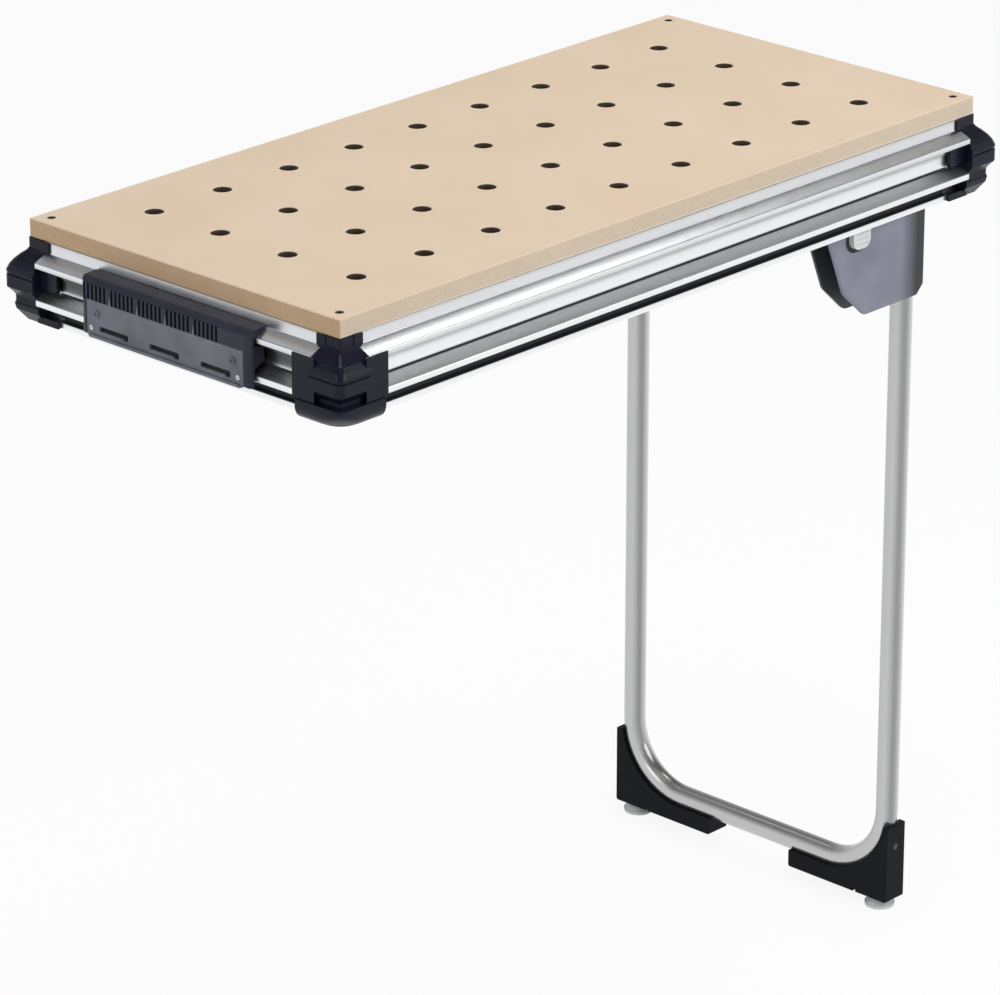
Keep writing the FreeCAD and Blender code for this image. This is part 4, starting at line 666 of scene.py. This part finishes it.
def make_world():
    """White surroundings to the camera, with a plain level of fill light and a greyer ceiling."""
    world = bpy.data.worlds.new("studio")
    world.use_nodes = True
    tree = world.node_tree
    tree.nodes.clear()
    path = add(tree, "ShaderNodeLightPath").outputs
    height = axes(tree, add(tree, "ShaderNodeTexCoord").outputs["Generated"])["Z"]
    ceiling = grey_ramp(tree, height, CEILING_SPAN, (1.0, CEILING_LEVEL))
    fill = add(tree, "ShaderNodeBackground", {"Color": WHITE, "Strength": WORLD_LEVEL}).outputs[0]
    mirrored = add(tree, "ShaderNodeBackground", {"Color": ceiling, "Strength": 1.0}).outputs[0]
    white = add(tree, "ShaderNodeBackground", {"Color": WHITE, "Strength": 1.0}).outputs[0]
    lit = add(tree, "ShaderNodeMixShader", {0: mirrored_rays(tree, path), 1: fill, 2: mirrored}).outputs[0]
    shown = add(tree, "ShaderNodeMixShader", {0: path["Is Camera Ray"], 1: lit, 2: white}).outputs[0]
    add(tree, "ShaderNodeOutputWorld", {"Surface": shown})
    bpy.context.scene.world = world


def floor_material():
    """Pale floor that mostly glows to rays that show it, so that it fades into the surroundings."""
    made, tree, shader = material("floor")
    shader.inputs["Base Color"].default_value = (*grey(FLOOR_COLOUR), 1.0)
    shader.inputs["Roughness"].default_value = FLOOR_ROUGHNESS
    shader.inputs["Specular IOR Level"].default_value = FLOOR_GLOSS
    path = add(tree, "ShaderNodeLightPath").outputs
    seen = maths(tree, "MAXIMUM", path["Is Camera Ray"], mirrored_rays(tree, path))
    glow = add(tree, "ShaderNodeEmission", {"Color": WHITE, "Strength": 1.0}).outputs[0]
    share = maths(tree, "MULTIPLY", seen, FLOOR_GLOW)
    mix = add(tree, "ShaderNodeMixShader", {0: share, 1: shader.outputs[0], 2: glow}).outputs[0]
    tree.links.new(mix, tree.nodes["Material Output"].inputs["Surface"])
    return made


def make_floor():
    """Pale floor under the pads, which keeps the object's shadow."""
    half = FLOOR_SIZE / 2
    mesh = bpy.data.meshes.new("floor")
    corners = [(x * half, y * half, FLOOR_Z) for x, y in ((-1, -1), (1, -1), (1, 1), (-1, 1))]
    mesh.from_pydata(corners, [], [(0, 1, 2, 3)])
    mesh.materials.append(floor_material())
    floor = bpy.data.objects.new("floor", mesh)
    bpy.context.scene.collection.objects.link(floor)


def make_lamps():
    """Large soft lamps round the object, aimed at the middle of its board."""
    for name, place, size, level in LAMPS:
        data = bpy.data.lights.new(name, "AREA")
        data.shape = "DISK"
        data.size = size
        distance = Vector(place).length
        data.energy = level * math.pi ** 2 * distance ** 2
        lamp = bpy.data.objects.new(name, data)
        lamp.location = place
        lamp.rotation_euler = (-Vector(place)).to_track_quat("-Z", "Y").to_euler()
        bpy.context.scene.collection.objects.link(lamp)


bpy.context.scene.view_settings.view_transform = "Standard"
MATERIALS = make_materials()
dress_frame(MATERIALS)
make_rail_shade_strips()
make_coupling_shade_sheets()
make_latch_gaps()
make_corner_skirt()
make_camera()
make_world()
make_floor()
make_lamps()
